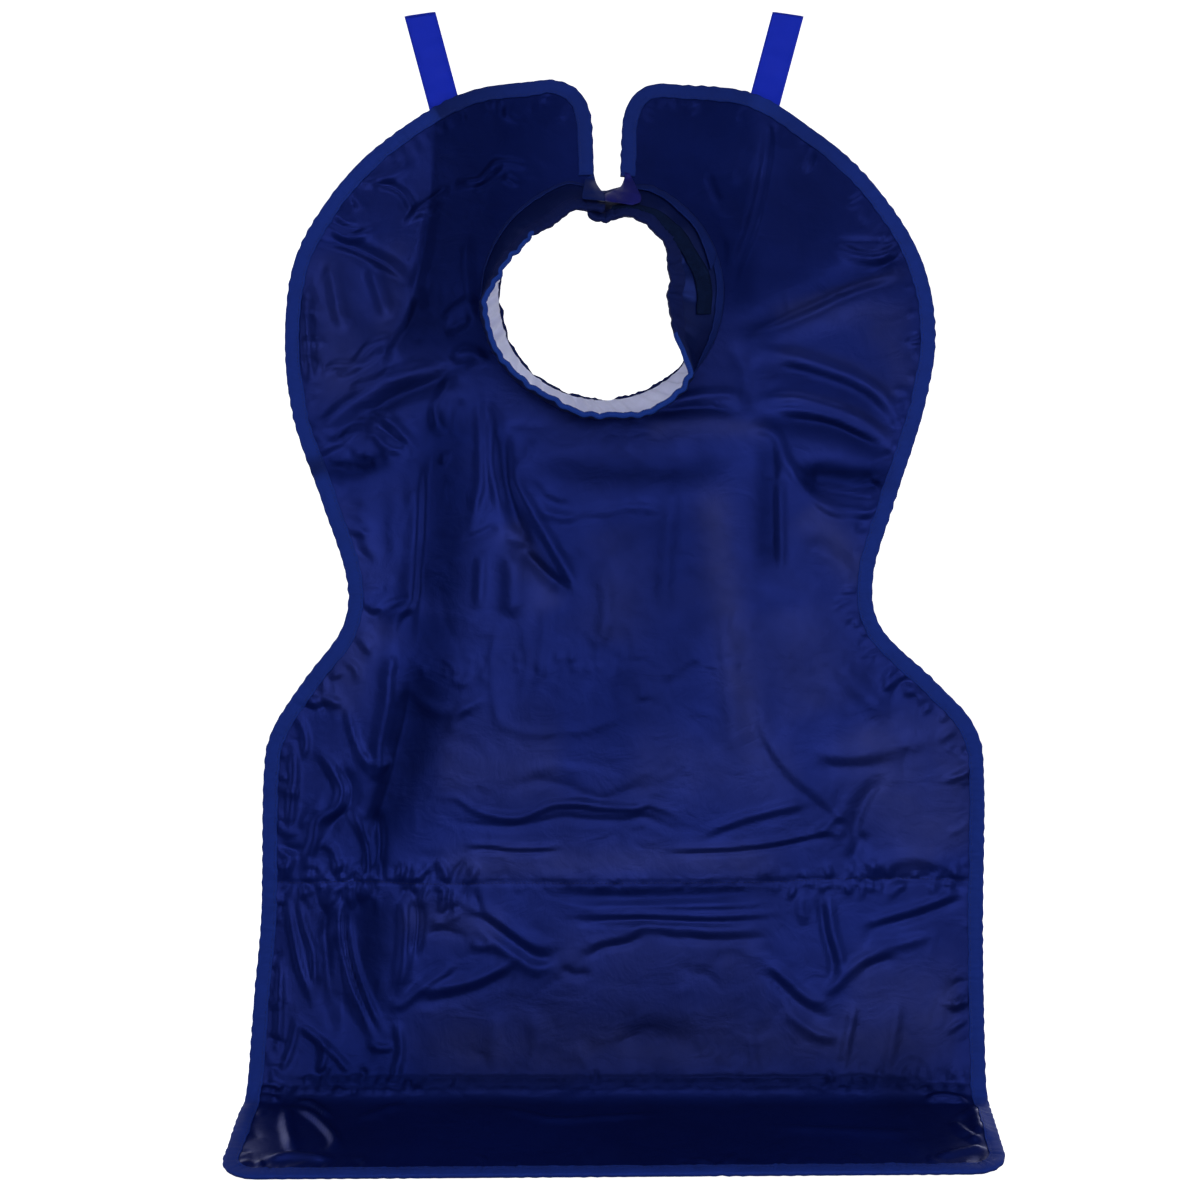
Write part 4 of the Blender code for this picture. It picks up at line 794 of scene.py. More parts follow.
def small_wrinkles(seed, count):
    """Shallow wrinkles all over the cloth, running mostly across the middle and down the sides."""
    rng = random.Random(seed)
    made = []
    for _ in range(count):
        across = rng.uniform(-0.34, 0.34)
        down = rng.uniform(0.02, 1.02)
        upright = abs(across) > 0.16 or rng.random() < 0.3
        way = math.radians(rng.gauss(90 if upright else 0, 28))
        length = rng.uniform(0.015, 0.060)
        step = np.array((math.cos(way), math.sin(way))) * length / 2
        side = np.array((-step[1], step[0])) * rng.gauss(0.0, 0.28)
        place = np.array((across, down))
        tall = rng.uniform(0.12, 0.42) * rng.choice((-1, 1))
        wide = rng.uniform(2.2, 6.5)
        curve = through([place - step, place + side, place + step], 4)
        made.append((tall, wide, wide * rng.uniform(0.7, 1.4), curve))
    return made


def build_lift():
    """The lift of the cloth off the plain sheet, on a grid of flat points."""
    across = np.arange(*LIFT_GRID_ACROSS, CLOTH_STEP)
    down = np.arange(-LIFT_GRID_ABOVE, BODY_LENGTH + LIP_LENGTH + LIFT_GRID_BELOW, CLOTH_STEP)
    flat = np.stack(np.meshgrid(across, down), -1).reshape(-1, 2)
    lift = np.zeros(len(flat))
    for _, height, over, under, places in FOLDS:
        add_fold(lift, flat, height, over, under, cloth_line(places))
    edge = evenly(outer_edge(), 0.006)[0]
    small = [(0.45, fold) for _, *row in GATHERS for fold in gathers(*row)]
    small += [(0.4, fold) for fold in small_wrinkles(WRINKLE_SEED, WRINKLE_COUNT)]
    small += [(0.4, fold) for fold in edge_gathers(STRAIN_SEED, edge, STRAIN_COUNT)]
    for taper, fold in small:
        add_fold(lift, flat, *fold, taper=taper)
    calm = smoothstep((gap_to(flat, edge, 0.05) - 0.004) / CALM_REACH)
    lift *= EDGE_KEPT + (1.0 - EDGE_KEPT) * calm
    for _, depth, places in SEAMS:
        add_fold(lift, flat, -depth, SEAM_WIDTH, SEAM_WIDTH, cloth_line(places, 0.004), taper=0.02)
    centre = neck_point(0.0, -NECK_HALF_HEIGHT)
    size = np.array([NECK_HALF_WIDTH, NECK_HALF_HEIGHT]) + COLLAR_MARGIN
    beyond_neck = (np.linalg.norm((flat - centre) / size, axis=1) - 1.0) * NECK_HALF_HEIGHT
    lift *= smoothstep((beyond_neck + 0.004) / CALM_REACH)
    return across, down, lift.reshape(len(down), len(across))


def zone_share(zones, flat, power):
    """How much of these zones lies at each flat point, from 0 to 1."""
    rest = np.ones(len(flat))
    for _, share, over, under, places in zones:
        here = np.zeros(len(flat))
        add_fold(here, flat, share / MM, over, under, cloth_line(places), taper=0.16, power=power)
        rest *= 1.0 - here
    return 1.0 - rest


def gap_to(flat, line, limit, block=40):
    """Each flat point's distance to the line, and limit where it is further, worked out in blocks."""
    gap = np.full(len(flat), limit)
    for start in range(0, len(line) - 1, block):
        part = line[start : start + block + 1]
        near = np.flatnonzero(((flat > part.min(0) - limit) & (flat < part.max(0) + limit)).all(1))
        if len(near):
            gap[near] = np.minimum(gap[near], nearest_on(flat[near], part)[0])
    return gap


ACROSS, DOWN, LIFT = build_lift()
LIFT_DOWN, LIFT_ACROSS = np.gradient(LIFT, CLOTH_STEP)


def sample(values, flat):
    """The value of a grid like LIFT at each flat point."""
    x = np.clip((flat[:, 0] - ACROSS[0]) / CLOTH_STEP, 0, len(ACROSS) - 1.001)
    y = np.clip((flat[:, 1] - DOWN[0]) / CLOTH_STEP, 0, len(DOWN) - 1.001)
    i, j = x.astype(int), y.astype(int)
    u, v = x - i, y - j
    upper = values[j, i] * (1 - u) + values[j, i + 1] * u
    lower = values[j + 1, i] * (1 - u) + values[j + 1, i + 1] * u
    return upper * (1 - v) + lower * v


def on_cloth(flat, above):
    """World points this far in front of the cloth's middle, and the cloth's normals there."""
    flat = np.asarray(flat, float)
    tilt = np.interp(flat[:, 1], DOWNS, PROFILE_TILT)
    y = np.interp(flat[:, 1], DOWNS, PROFILE_Y)
    z = np.interp(flat[:, 1], DOWNS, PROFILE_Z)
    lift = sample(LIFT, flat)
    slope_a, slope_d = sample(LIFT_ACROSS, flat), sample(LIFT_DOWN, flat)
    front = np.stack([np.zeros_like(y), -np.cos(tilt), np.sin(tilt)], 1)
    downward = np.stack([np.zeros_like(y), -np.sin(tilt), -np.cos(tilt)], 1)
    sideways = np.array([1.0, 0.0, 0.0])
    normal = unit(front - slope_a[:, None] * sideways - slope_d[:, None] * downward)
    base = np.stack([flat[:, 0], y, z], 1) + front * lift[:, None]
    return base + normal * np.broadcast_to(above, len(flat))[:, None], normal


# ---- Materials ----


def tinted(colour, share):
    return tuple(value * share for value in colour)


class Nodes:
    """A new Principled material, with ways to add shader nodes to it and link them. inputs are the
    shader's other sockets by name, with _ for each space."""

    def __init__(self, name, colour, roughness, **inputs):
        self.material = bpy.data.materials.new(name)
        self.material.use_nodes = True
        self.tree = self.material.node_tree
        self.shader = self.tree.nodes["Principled BSDF"]
        self.shader.inputs["Base Color"].default_value = (*colour, 1.0)
        self.shader.inputs["Roughness"].default_value = roughness
        for socket, value in inputs.items():
            self.shader.inputs[socket.replace("_", " ")].default_value = value

    def add(self, kind, links=None, **values):
        node = self.tree.nodes.new(kind)
        for name, value in values.items():
            if hasattr(node, name):
                setattr(node, name, value)
            else:
                node.inputs[name.replace("_", " ")].default_value = value
        for name, source in (links or {}).items():
            self.tree.links.new(source, node.inputs[name])
        return node

    def coordinates(self, output="Object"):
        return self.add("ShaderNodeTexCoord").outputs[output]

    def attribute(self, name):
        return self.add("ShaderNodeAttribute", attribute_name=name).outputs["Fac"]

    def noise(self, vector, scale, detail, roughness=0.5, distortion=0.0):
        values = {"Scale": scale, "Detail": detail, "Roughness": roughness, "Distortion": distortion}
        return self.add("ShaderNodeTexNoise", {"Vector": vector}, **values).outputs["Fac"]

    def wave(self, vector, direction, scale, distortion=0.0):
        values = {"bands_direction": direction, "Scale": scale, "Distortion": distortion}
        return self.add("ShaderNodeTexWave", {"Vector": vector}, **values).outputs["Fac"]

    def weave(self, vector, scale, distortion=0.0):
        """Warp and weft: bands that cross."""
        warp = self.wave(vector, "X", scale, distortion)
        return self.math("MULTIPLY", warp, self.wave(vector, "Z", scale, distortion))

    def stretched(self, vector, scale, turn=0.0):
        node = self.add("ShaderNodeMapping", {"Vector": vector})
        node.inputs["Scale"].default_value = scale
        node.inputs["Rotation"].default_value = (0.0, turn, 0.0)
        return node.outputs["Vector"]

    def math(self, operation, first, second):
        node = self.add("ShaderNodeMath", operation=operation)
        for socket, value in zip(node.inputs, (first, second)):
            if isinstance(value, float):
                socket.default_value = value
            else:
                self.tree.links.new(value, socket)
        return node.outputs[0]

    def mix(self, first, first_share, second, second_share):
        """The sum of two values, each times its share."""
        parts = (self.math("MULTIPLY", first, first_share), self.math("MULTIPLY", second, second_share))
        return self.math("ADD", *parts)

    def ramp(self, factor, *stops):
        """The colour for each value between the stops, which are (value, colour) pairs."""
        node = self.add("ShaderNodeValToRGB", {"Fac": factor})
        elements = node.color_ramp.elements
        while len(elements) < len(stops):
            elements.new(0.5)
        for element, (place, colour) in zip(elements, stops):
            element.position = place
            element.color = (*colour, 1.0)
        return node.outputs["Color"]

    def to_range(self, factor, low, high, from_low=0.3, from_high=0.7):
        limits = {"From_Min": from_low, "From_Max": from_high, "To_Min": low, "To_Max": high}
        return self.add("ShaderNodeMapRange", {"Value": factor}, **limits).outputs["Result"]

    def bump(self, height, distance, strength=1.0, below=None):
        links = {"Height": height}
        if below is not None:
            links["Normal"] = below
        node = self.add("ShaderNodeBump", links, Strength=strength, Distance=distance)
        return node.outputs["Normal"]

    def shaded(self, colour):
        """The colour times the mesh's attribute shade."""
        links = {"Vector": colour, "Scale": self.attribute("shade")}
        return self.add("ShaderNodeVectorMath", links, operation="SCALE").outputs["Vector"]

    def with_painted_sheen(self, colour, cloud):
        """The colour plus a cloudy painted highlight of grey sheen where the mesh's attribute for it is
        above 0.
        """
        share = self.math("MULTIPLY", self.attribute("painted_sheen"), self.to_range(cloud, 0.75, 1.25))
        scaled = self.add("ShaderNodeVectorMath", {"Scale": share}, operation="SCALE")
        scaled.inputs["Vector"].default_value = PAINTED_SHEEN_COLOUR
        links = {0: colour, 1: scaled.outputs["Vector"]}
        return self.add("ShaderNodeVectorMath", links, operation="ADD").outputs["Vector"]

    def finish(self, colour, normal, roughness=None):
        """Joins these to the shader, and gives the material."""
        joined = {"Base Color": colour, "Normal": normal}
        if roughness is not None:
            joined["Roughness"] = roughness
        for socket, source in joined.items():
            self.tree.links.new(source, self.shader.inputs[socket])
        return self.material


def coated_cloth(name, colour, roughness, crinkle=1.0, shaded=False):
    """Semi-gloss coated nylon: fine taffeta weave under the coat, small crinkles and rubbed patches. A
    shaded cloth follows two attributes of its mesh: shade, painted shade that darkens the colour and lowers
    the gloss, and painted sheen, a grey highlight painted into the colour."""
    nodes = Nodes(name, colour, roughness, Metallic=0.62, Specular_IOR_Level=0.13)
    place = nodes.coordinates()
    patches = nodes.noise(place, 7.0, 4.0, 0.6, 0.4)
    dark, light = tinted(colour, 0.80), tinted(colour, 1.16)
    cloudy = nodes.ramp(patches, (0.30, dark), (0.52, colour), (0.74, light))
    # Painted shade: the attribute shade darkens the colour and lowers the gloss; the painted sheen adds a
    # grey highlight
    if shaded:
        cloudy = nodes.with_painted_sheen(nodes.shaded(cloudy), nodes.noise(place, 40.0, 4.0, 0.6, 0.5))
        gloss = nodes.to_range(nodes.attribute("shade"), 0.05, 0.15, 0.55, 1.0)
        nodes.tree.links.new(gloss, nodes.shader.inputs["Specular IOR Level"])
    rubbed = nodes.to_range(nodes.noise(place, 26.0, 5.0, 0.65, 0.6), roughness - 0.05, roughness + 0.07)
    fine = nodes.bump(nodes.weave(place, 340.0, 0.6), 0.00006, 0.35)
    crinkles = nodes.noise(nodes.stretched(place, (1.0, 1.0, 0.62), 0.3), 120.0, 4.0, 0.55, 1.2)
    soft = nodes.noise(nodes.stretched(place, (0.8, 1.0, 1.1)), 34.0, 4.0, 0.55, 0.9)
    middle = nodes.bump(crinkles, 0.0006 * crinkle, 0.22, fine)
    return nodes.finish(cloudy, nodes.bump(soft, 0.0020 * crinkle, 0.36, middle), rubbed)


def woven_ribbon(
    name, colour, roughness, rib=0.0011, depth=0.00010, sheen=0.01, contrast=0.20, shaded=False
):
    """Ribbed ribbon: ribs run across it, with fine yarn variation. It needs UVs in metres."""
    gloss = {"Sheen_Weight": sheen, "Sheen_Roughness": 0.45, "Specular_IOR_Level": 0.07}
    nodes = Nodes(name, colour, roughness, Metallic=0.15, **gloss)
    place = nodes.coordinates("UV")
    ribs_each_metre = 0.314 / rib
    ribs = nodes.wave(place, "X", ribs_each_metre)
    yarns = nodes.wave(place, "Y", ribs_each_metre * 1.6, 0.3)
    weave = nodes.mix(ribs, 0.7, yarns, 0.3)
    cloudy = nodes.noise(nodes.coordinates(), 60.0, 4.0, 0.6)
    mixed = nodes.mix(weave, 0.45, cloudy, 0.55)
    dark, light = tinted(colour, 1 - contrast), tinted(colour, 1 + contrast)
    yarn = nodes.ramp(mixed, (0.25, dark), (0.5, colour), (0.78, light))
    rubbed = nodes.to_range(cloudy, roughness - 0.05, roughness + 0.06)
    # A shaded ribbon is darkened by painted shade from its mesh's attribute shade
    if shaded:
        yarn = nodes.shaded(yarn)
    puffs = nodes.bump(nodes.noise(nodes.coordinates(), 210.0, 3.0), 0.0003, 0.4)
    return nodes.finish(yarn, nodes.bump(weave, depth, 0.8, puffs), rubbed)


def soft_lining(name, colour, roughness):
    """Thin white lining: plain weave with a soft crumple."""
    nodes = Nodes(name, colour, roughness, Sheen_Weight=0.15, Specular_IOR_Level=0.3)
    place = nodes.coordinates()
    patches = nodes.noise(place, 40.0, 4.0, 0.6, 0.5)
    fine = nodes.bump(nodes.weave(place, 420.0), 0.00008, 0.5)
    cloudy = nodes.ramp(patches, (0.3, tinted(colour, 0.9)), (0.6, colour))
    return nodes.finish(cloudy, nodes.bump(patches, 0.0012, 0.4, fine))


def closure_tape(name, colour, roughness):
    """One half of a hook-and-loop tape: fuzzy, with darker and lighter tufts."""
    nodes = Nodes(name, colour, roughness, Specular_IOR_Level=0.04)
    place = nodes.coordinates()
    fine, patches = nodes.noise(place, 900.0, 5.0, 0.75, 1.0), nodes.noise(place, 120.0, 3.0, 0.6)
    fuzz = nodes.mix(fine, 0.6, patches, 0.4)
    tufts = nodes.ramp(fuzz, (0.34, tinted(colour, 0.6)), (0.52, colour), (0.70, tinted(colour, 1.7)))
    return nodes.finish(tufts, nodes.bump(fuzz, 0.0009, 0.9))


def thread(name, colour, roughness):
    """Sewing thread with a fine twist."""
    nodes = Nodes(name, colour, roughness, Specular_IOR_Level=0.1)
    twist = nodes.noise(nodes.coordinates(), 1600.0, 2.0)
    return nodes.finish(
        nodes.ramp(twist, (0.3, tinted(colour, 0.7)), (0.7, colour)), nodes.bump(twist, 0.0002, 0.5)
    )


# The grey of the painted sheen, a highlight painted into the cover's colour
PAINTED_SHEEN_COLOUR = (0.0078, 0.0076, 0.0060)
NAVY = coated_cloth("navy_coated_nylon", (0.0036, 0.0116, 0.118), 0.36, shaded=True)
NAVY_BACK = coated_cloth("navy_coated_nylon_back", (0.0045, 0.0115, 0.105), 0.40)
COLLAR_NAVY = coated_cloth("navy_collar_nylon", (0.0046, 0.0130, 0.098), 0.42, 0.8)
# This binding takes painted shade from its mesh's attribute shade
ROYAL_EDGE = woven_ribbon("royal_woven_binding", (0.0092, 0.0285, 0.218), 0.64, shaded=True)
ROYAL = woven_ribbon("royal_foot_binding", (0.0045, 0.0145, 0.115), 0.64)
# Navy for the neckline binding, made darker as painted shade, as the binding lies in the neck opening's
# shadow
NAVY_RIBBON = woven_ribbon("navy_neck_binding", (0.0034, 0.0090, 0.074), 0.60)
# Bright satin for the loops; its colour is made lighter as painted light for the backlight shining through
# the thin ribbon
BRIGHT = woven_ribbon("bright_satin_ribbon", (0.007, 0.024, 0.480), 0.42, 0.0009, 0.00005, 0.02, 0.08)
VIOLET_RIBBON = woven_ribbon("violet_navy_ribbon", (0.012, 0.013, 0.150), 0.45)
# Navy for the rim ribbon's outer face, darker than its royal inner face; at the top and right of the rim it
# covers all of the ribbon as painted shade
RIM_NAVY = woven_ribbon("navy_rim_binding", (0.0040, 0.0100, 0.078), 0.60)
RIM_ROYAL = woven_ribbon("royal_rim_binding", (0.010, 0.040, 0.260), 0.58)
LINING = soft_lining("white_collar_lining", (0.68, 0.70, 0.94), 0.75)
LOOP_TAPE = closure_tape("dark_loop_pile", (0.0036, 0.0095, 0.040), 0.9)
HOOK_TAPE = closure_tape("dark_hook_tape", (0.012, 0.018, 0.060), 0.7)
THREAD = thread("royal_thread", (0.013, 0.026, 0.150), 0.6)
NAVY_THREAD = thread("navy_thread", (0.007, 0.012, 0.080), 0.6)


# ---- Mesh helpers ----

WAVE_PARTS = 5


def make_piece(name, vertices, faces, look, uvs=None, node=None, closed=False):
    """A piece of the apron. uvs has one pair for each vertex, and a closed piece is turned face out."""
    mesh = bpy.data.meshes.new(name)
    mesh.from_pydata(vertices.tolist(), [], faces if isinstance(faces, list) else faces.tolist())
    mesh.materials.append(look)
    if uvs is not None:
        layer = mesh.uv_layers.new(name="ribbon")
        corners = np.zeros(len(mesh.loops), int)
        mesh.loops.foreach_get("vertex_index", corners)
        layer.data.foreach_set("uv", uvs[corners].ravel())
    mesh.update()
    if closed:
        turn_outward(mesh)
    mesh.shade_smooth()
    made = bpy.data.objects.new(name, mesh)
    bpy.context.scene.collection.objects.link(made)
    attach(made, "root")
    if node:
        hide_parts(node)
    return made


def set_attribute(made, name, values):
    made.data.attributes.new(name, "FLOAT", "POINT").data.foreach_set("value", values)


def grid_faces(rows, columns, wrap=False):
    """Quads between the rows of a grid; wrap joins each row's last point to its first."""
    index = np.arange(rows * columns).reshape(rows, columns)
    if wrap:
        index = np.hstack([index, index[:, :1]])
    return np.stack([index[:-1, :-1], index[:-1, 1:], index[1:, 1:], index[1:, :-1]], -1).reshape(-1, 4)


def grid_uvs(along, across):
    """UVs in metres for a grid with these distances along it and across it."""
    return np.stack(np.meshgrid(along, across, indexing="ij"), -1)


def waves(along, length, seed):
    """A smooth irregular wave of about this length, from about -1 to 1, at each distance."""
    rng = random.Random(seed)
    total = np.zeros_like(along)
    for _ in range(WAVE_PARTS):
        total += np.sin(along / length * math.tau * rng.uniform(0.55, 1.7) + rng.uniform(0, math.tau))
    return total / WAVE_PARTS**0.5 / 1.3


def binding_border(along, seed):
    """How far a binding's inner border strays from its line."""
    return waves(along, 0.011, seed) * 0.00035 + waves(along, 0.05, seed + 1) * 0.0004


# ---- The body ----

EDGE, EDGE_ALONG = evenly(outer_edge(), EDGE_STEP)
EDGE_INWARD = inward_ways(EDGE)


def neck_ring(step):
    """Turns about step apart round the neck's edge, from the split's right to its left."""
    first, last = split_degrees(1, 0.0), 360.0 + split_degrees(-1, 0.0)
    return np.linspace(first, last, round(math.radians(last - first) * NECK_HALF_WIDTH / step))


NECK_TURNS = neck_ring(0.003)
CUT = np.vstack([EDGE, neck_point(NECK_TURNS)[::-1]])
COVER_MARGIN = 0.0022


def body_sheet(name, every, above, look, node=None):
    """One cover of the body, and its flat points: an open sheet whose border lies inside the bindings."""
    across, down = ACROSS[::every], DOWN[::every]
    flat = np.stack(np.meshgrid(across, down), -1).reshape(-1, 2)
    within = inside_polygon(flat, CUT) & (gap_to(flat, np.vstack([CUT, CUT[:1]]), 0.02) > COVER_MARGIN)
    faces = grid_faces(len(down), len(across))
    faces = faces[within[faces].all(1)]
    used = np.unique(faces)
    faces = np.searchsorted(used, faces)
    if above > 0:
        faces = faces[:, ::-1]
    points, _ = on_cloth(flat[used], above)
    return make_piece(name, points, faces, look, flat[used], node), flat[used]


body_cover, cover_flat = body_sheet("body_cover", 1, PANEL_HALF, NAVY, "body_panel")
body_backing, _ = body_sheet("body_backing", 2, -PANEL_HALF, NAVY_BACK)
# Painted shade and painted sheen on the cover: darker and less glossy in the shade zones, greyer where
# highlights are painted
set_attribute(body_cover, "shade", 1.0 - zone_share(PAINTED_SHADE_ZONES, cover_flat, 3))
set_attribute(body_cover, "painted_sheen", zone_share(PAINTED_SHEEN_ZONES, cover_flat, 2))


# ---- The bindings round the body's edges ----

# A folded ribbon's section, from the front's inner border round the edge to the back's and home inside:
# (share of the width in from the edge, extra in mm, height as a share of BINDING_HEIGHT, extra height in
# mm, how much it gathers)
RIBBON_SECTION = (
    (1.00, 0.0, 0.00, 0.1, 0.0),
    (1.00, 0.0, 0.80, 0.0, 0.5),
    (1.00, -0.6, 1.00, 0.0, 0.9),
    (1.00, -2.1, 1.00, -0.22, 0.5),
    (1.00, -3.4, 1.00, 0.04, 1.0),
    (0.50, 0.0, 1.00, 0.18, 1.0),
    (0.20, 0.0, 1.00, 0.15, 0.7),
    (0.00, 0.3, 1.00, -0.20, 0.3),
    (0.00, -0.8, 0.40, 0.0, 0.1),
)
BINDING_GAP = 0.00012
BINDING_HEIGHT = 0.0009


def folded_ribbon(
    name, place, along, width, reach, look, node, seed, pucker=0.55,
    front_look=None, painted_shade_stations=None,
):
    """Ribbon folded over a sheet's edge. place(inside, above) gives the world points this far in from the
    edge and above the sheet, and reach is how far the sheet's front and back faces lie from it. front_look
    is for its front, and for all of it at the painted shade stations, where it stands in for shade."""
    border = binding_border(along, seed)
    fold = waves(along, 0.016, seed + 2) * 0.00045 + waves(along, 0.004, seed + 3) * 0.00012
    halfway = (reach[0] - reach[1]) / 2
    front, back = reach[0] + BINDING_GAP, reach[1] + BINDING_GAP
    puckers = {side: waves(along, 0.0062, seed + 5 + side) * pucker * MM for side in (1, -1)}
    outside = [
        [
            (share, extra * MM, side * (face + high * BINDING_HEIGHT + up * MM + puckers[side] * gathered))
            for share, extra, high, up, gathered in RIBBON_SECTION
        ]
        for side, face in ((1, front), (-1, back))
    ]
    section = [*outside[0], (0.0, -0.0012, halfway), *reversed(outside[1])]
    section += [(0.5, 0.0, -back), (0.0, 0.0006, -back), (0.0, -0.0004, halfway), (0.0, 0.0006, front)]
    section += [(0.5, 0.0, front)]
    rings, flat_section = [], []
    for share, extra, above in section:
        inside = share * (width + border) + extra - (1 - share) * fold
        rings.append(place(inside, np.broadcast_to(above, along.shape)))
        flat_section.append((share * width + extra, float(np.mean(above))))
    uvs = grid_uvs(along, distance_along(np.array(flat_section)))
    made = tube(name, np.stack(rings, 1), look, uvs, node)
    if front_look:
        made.data.materials.append(front_look)
        station, column = np.divmod(np.arange(len(made.data.polygons)), len(rings))
        # The front takes front_look, and so does all of the ribbon at the painted shade stations
        dark = (column < len(RIBBON_SECTION) - 1) | painted_shade_stations[np.minimum(station, len(along) - 1)]
        made.data.polygons.foreach_set("material_index", dark.astype(int))
    return made


def tube(name, sections, look, uvs, node=None):
    """A closed piece through like sections, (stations, points of each, 3), with flat ends."""
    stations, count = sections.shape[:2]
    faces = grid_faces(stations, count, wrap=True).tolist()
    faces.append(list(range(count)))
    faces.append([stations * count - 1 - n for n in range(count)])
    points, uvs = sections.reshape(-1, 3), uvs.reshape(-1, 2)
    return make_piece(name, points, faces, look, uvs, node, closed=True)


def turn_outward(mesh):
    """Turns a closed mesh's faces round if they point in."""
    mesh.calc_loop_triangles()
    points = np.zeros(len(mesh.vertices) * 3)
    mesh.vertices.foreach_get("co", points)
    corners = np.zeros(len(mesh.loop_triangles) * 3, int)
    mesh.loop_triangles.foreach_get("vertices", corners)
    a, b, c = points.reshape(-1, 3)[corners.reshape(-1, 3)].transpose(1, 0, 2)
    if np.einsum("ij,ij->i", a, np.cross(b, c)).sum() < 0:
        mesh.flip_normals()


def edge_place(inside, above):
    return on_cloth(EDGE + EDGE_INWARD * inside[:, None], above)[0]


EDGE_SEED = 31
edge_ribbon = folded_ribbon(
    "edge_binding_ribbon", edge_place, EDGE_ALONG, BINDING_WIDTH, (PANEL_HALF, PANEL_HALF), ROYAL_EDGE,
    "edge_binding", EDGE_SEED,
)
# Painted shade on the edge binding: darker where the cover's painted shade zones reach the edge
edge_painted_shade = 1.0 - zone_share(PAINTED_SHADE_ZONES, EDGE, 3)
set_attribute(edge_ribbon, "shade", np.repeat(edge_painted_shade, len(edge_ribbon.data.vertices) // len(EDGE)))


def neck_sag(turns):
    """How far the neckline sags into the opening at its left."""
    return 0.0034 * np.exp(-(((turns - 262.0) / 24.0) ** 2))


NECK_ALONG = np.radians(NECK_TURNS - NECK_TURNS[0]) * NECK_HALF_WIDTH
NECK_WAVE = waves(NECK_ALONG, 0.030, 51) * 0.0009 + waves(NECK_ALONG, 0.009, 52) * 0.0004
NECK_WAVE += 0.0032 * np.exp(-(((NECK_TURNS - 178.0) / 4.0) ** 2)) - neck_sag(NECK_TURNS)


def neck_place(inside, above):
    return on_cloth(neck_point(NECK_TURNS, inside + NECK_WAVE), above)[0]


folded_ribbon(
    "neckline_ribbon", neck_place, NECK_ALONG, NECK_BINDING_WIDTH, (PANEL_HALF, PANEL_HALF), NAVY_RIBBON,
    "neckline_binding", 41,
)


# ---- The collar ----


def collar_row(turns):
    """(lean, base_out, lift) of the collar at each turn."""
    columns = np.array(COLLAR).T
    numbers = np.arange(len(COLLAR))
    share = np.interp(turns, columns[0], numbers)
    low = np.minimum(share, len(COLLAR) - 2).astype(int)
    eased = low + (smoothstep(share - low) + share - low) / 2
    return [np.interp(eased, numbers, column) for column in columns[1:]]


def rim_height(turns):
    """The collar wall's height at each turn; its two ends are rounded off."""
    reach = NECK_HALF_WIDTH + COLLAR_MARGIN
    to_end = np.minimum(turns - COLLAR[0][0], COLLAR[-1][0] - turns)
    short = TIP_ROUNDING - np.clip(np.radians(to_end) * reach, 0.0, TIP_ROUNDING)
    return COLLAR_HEIGHT - TIP_ROUNDING + np.sqrt(TIP_ROUNDING**2 - 0.98 * short**2)


def outward_way(turns):
    """The unit way out from the neck's centre at each turn."""
    around = np.radians(turns)
    return np.stack([np.sin(around), np.zeros_like(around), np.cos(around)], -1)


def collar_middle(turns, height):
    """World points of the collar wall's middle surface, height up it."""
    turns, height = np.broadcast_arrays(np.asarray(turns, float), height)
    lean, base_out, lift = collar_row(turns)
    base = neck_point(turns, COLLAR_MARGIN * (1 + base_out))
    outward = outward_way(turns)
    forward = np.array((0.0, -1.0, 0.0))
    outer_reach = COLLAR_THICKNESS / 2 + CLEARANCE + RIBBON_THICKNESS
    foot = PANEL_HALF + 2 * CLEARANCE + TAB_LIFT * lift + FOOT_ROOM
    foot = foot + np.maximum(lean * outer_reach, -lean * COLLAR_THICKNESS / 2)
    tilt = np.interp(base[..., 1], DOWNS, PROFILE_TILT)
    y = np.interp(base[..., 1], DOWNS, PROFILE_Y) - foot * np.cos(tilt)
    z = np.interp(base[..., 1], DOWNS, PROFILE_Z) + foot * np.sin(tilt)
    point = np.stack([base[..., 0], y, z], -1)
    rise = np.sqrt(1 - lean**2)[..., None]
    lean = lean[..., None]
    share = np.clip(height / COLLAR_HEIGHT, 0.0, 1.1)
    loose = smoothstep((turns - 118) / 14) * (1 - smoothstep((turns - 318) / 20))
    ripple = RIM_RIPPLE(turns) * (0.35 + 0.65 * loose) * share**2.6
    ripple = ripple + RIM_SWAY(turns) * share**1.5 + WALL_DENTS(turns) * np.sin(math.pi * share) ** 2
    bulge = COLLAR_BULGE * np.sin(math.pi * share) + ripple
    point = point + (outward * lean + forward * rise) * height[..., None]
    return point + (outward * rise - forward * lean) * bulge[..., None]


def turn_waves(size, length, seed):
    """A function of the turn in degrees: waves of this size and length in metres round the collar."""
    fine = np.linspace(-20.0, 380.0, 4000)
    values = waves(np.radians(fine) * NECK_HALF_WIDTH, length, seed) * size
    return lambda turns: np.interp(turns, fine, values)


RIM_RIPPLE = turn_waves(0.0013, 0.014, 61)
RIM_SWAY = turn_waves(0.0011, 0.045, 62)
WALL_DENTS = turn_waves(0.0012, 0.050, 63)


def on_collar(turns, height, above):
    """World points this far outside the collar wall's middle surface."""
    turns, height = np.broadcast_arrays(np.asarray(turns, float), height)
    round_way = collar_middle(turns + 0.15, height) - collar_middle(turns - 0.15, height)
    up_way = collar_middle(turns, height + 0.0004) - collar_middle(turns, height - 0.0004)
    normal = unit(np.cross(up_way, round_way))
    return collar_middle(turns, height) + normal * np.broadcast_to(above, turns.shape)[..., None]


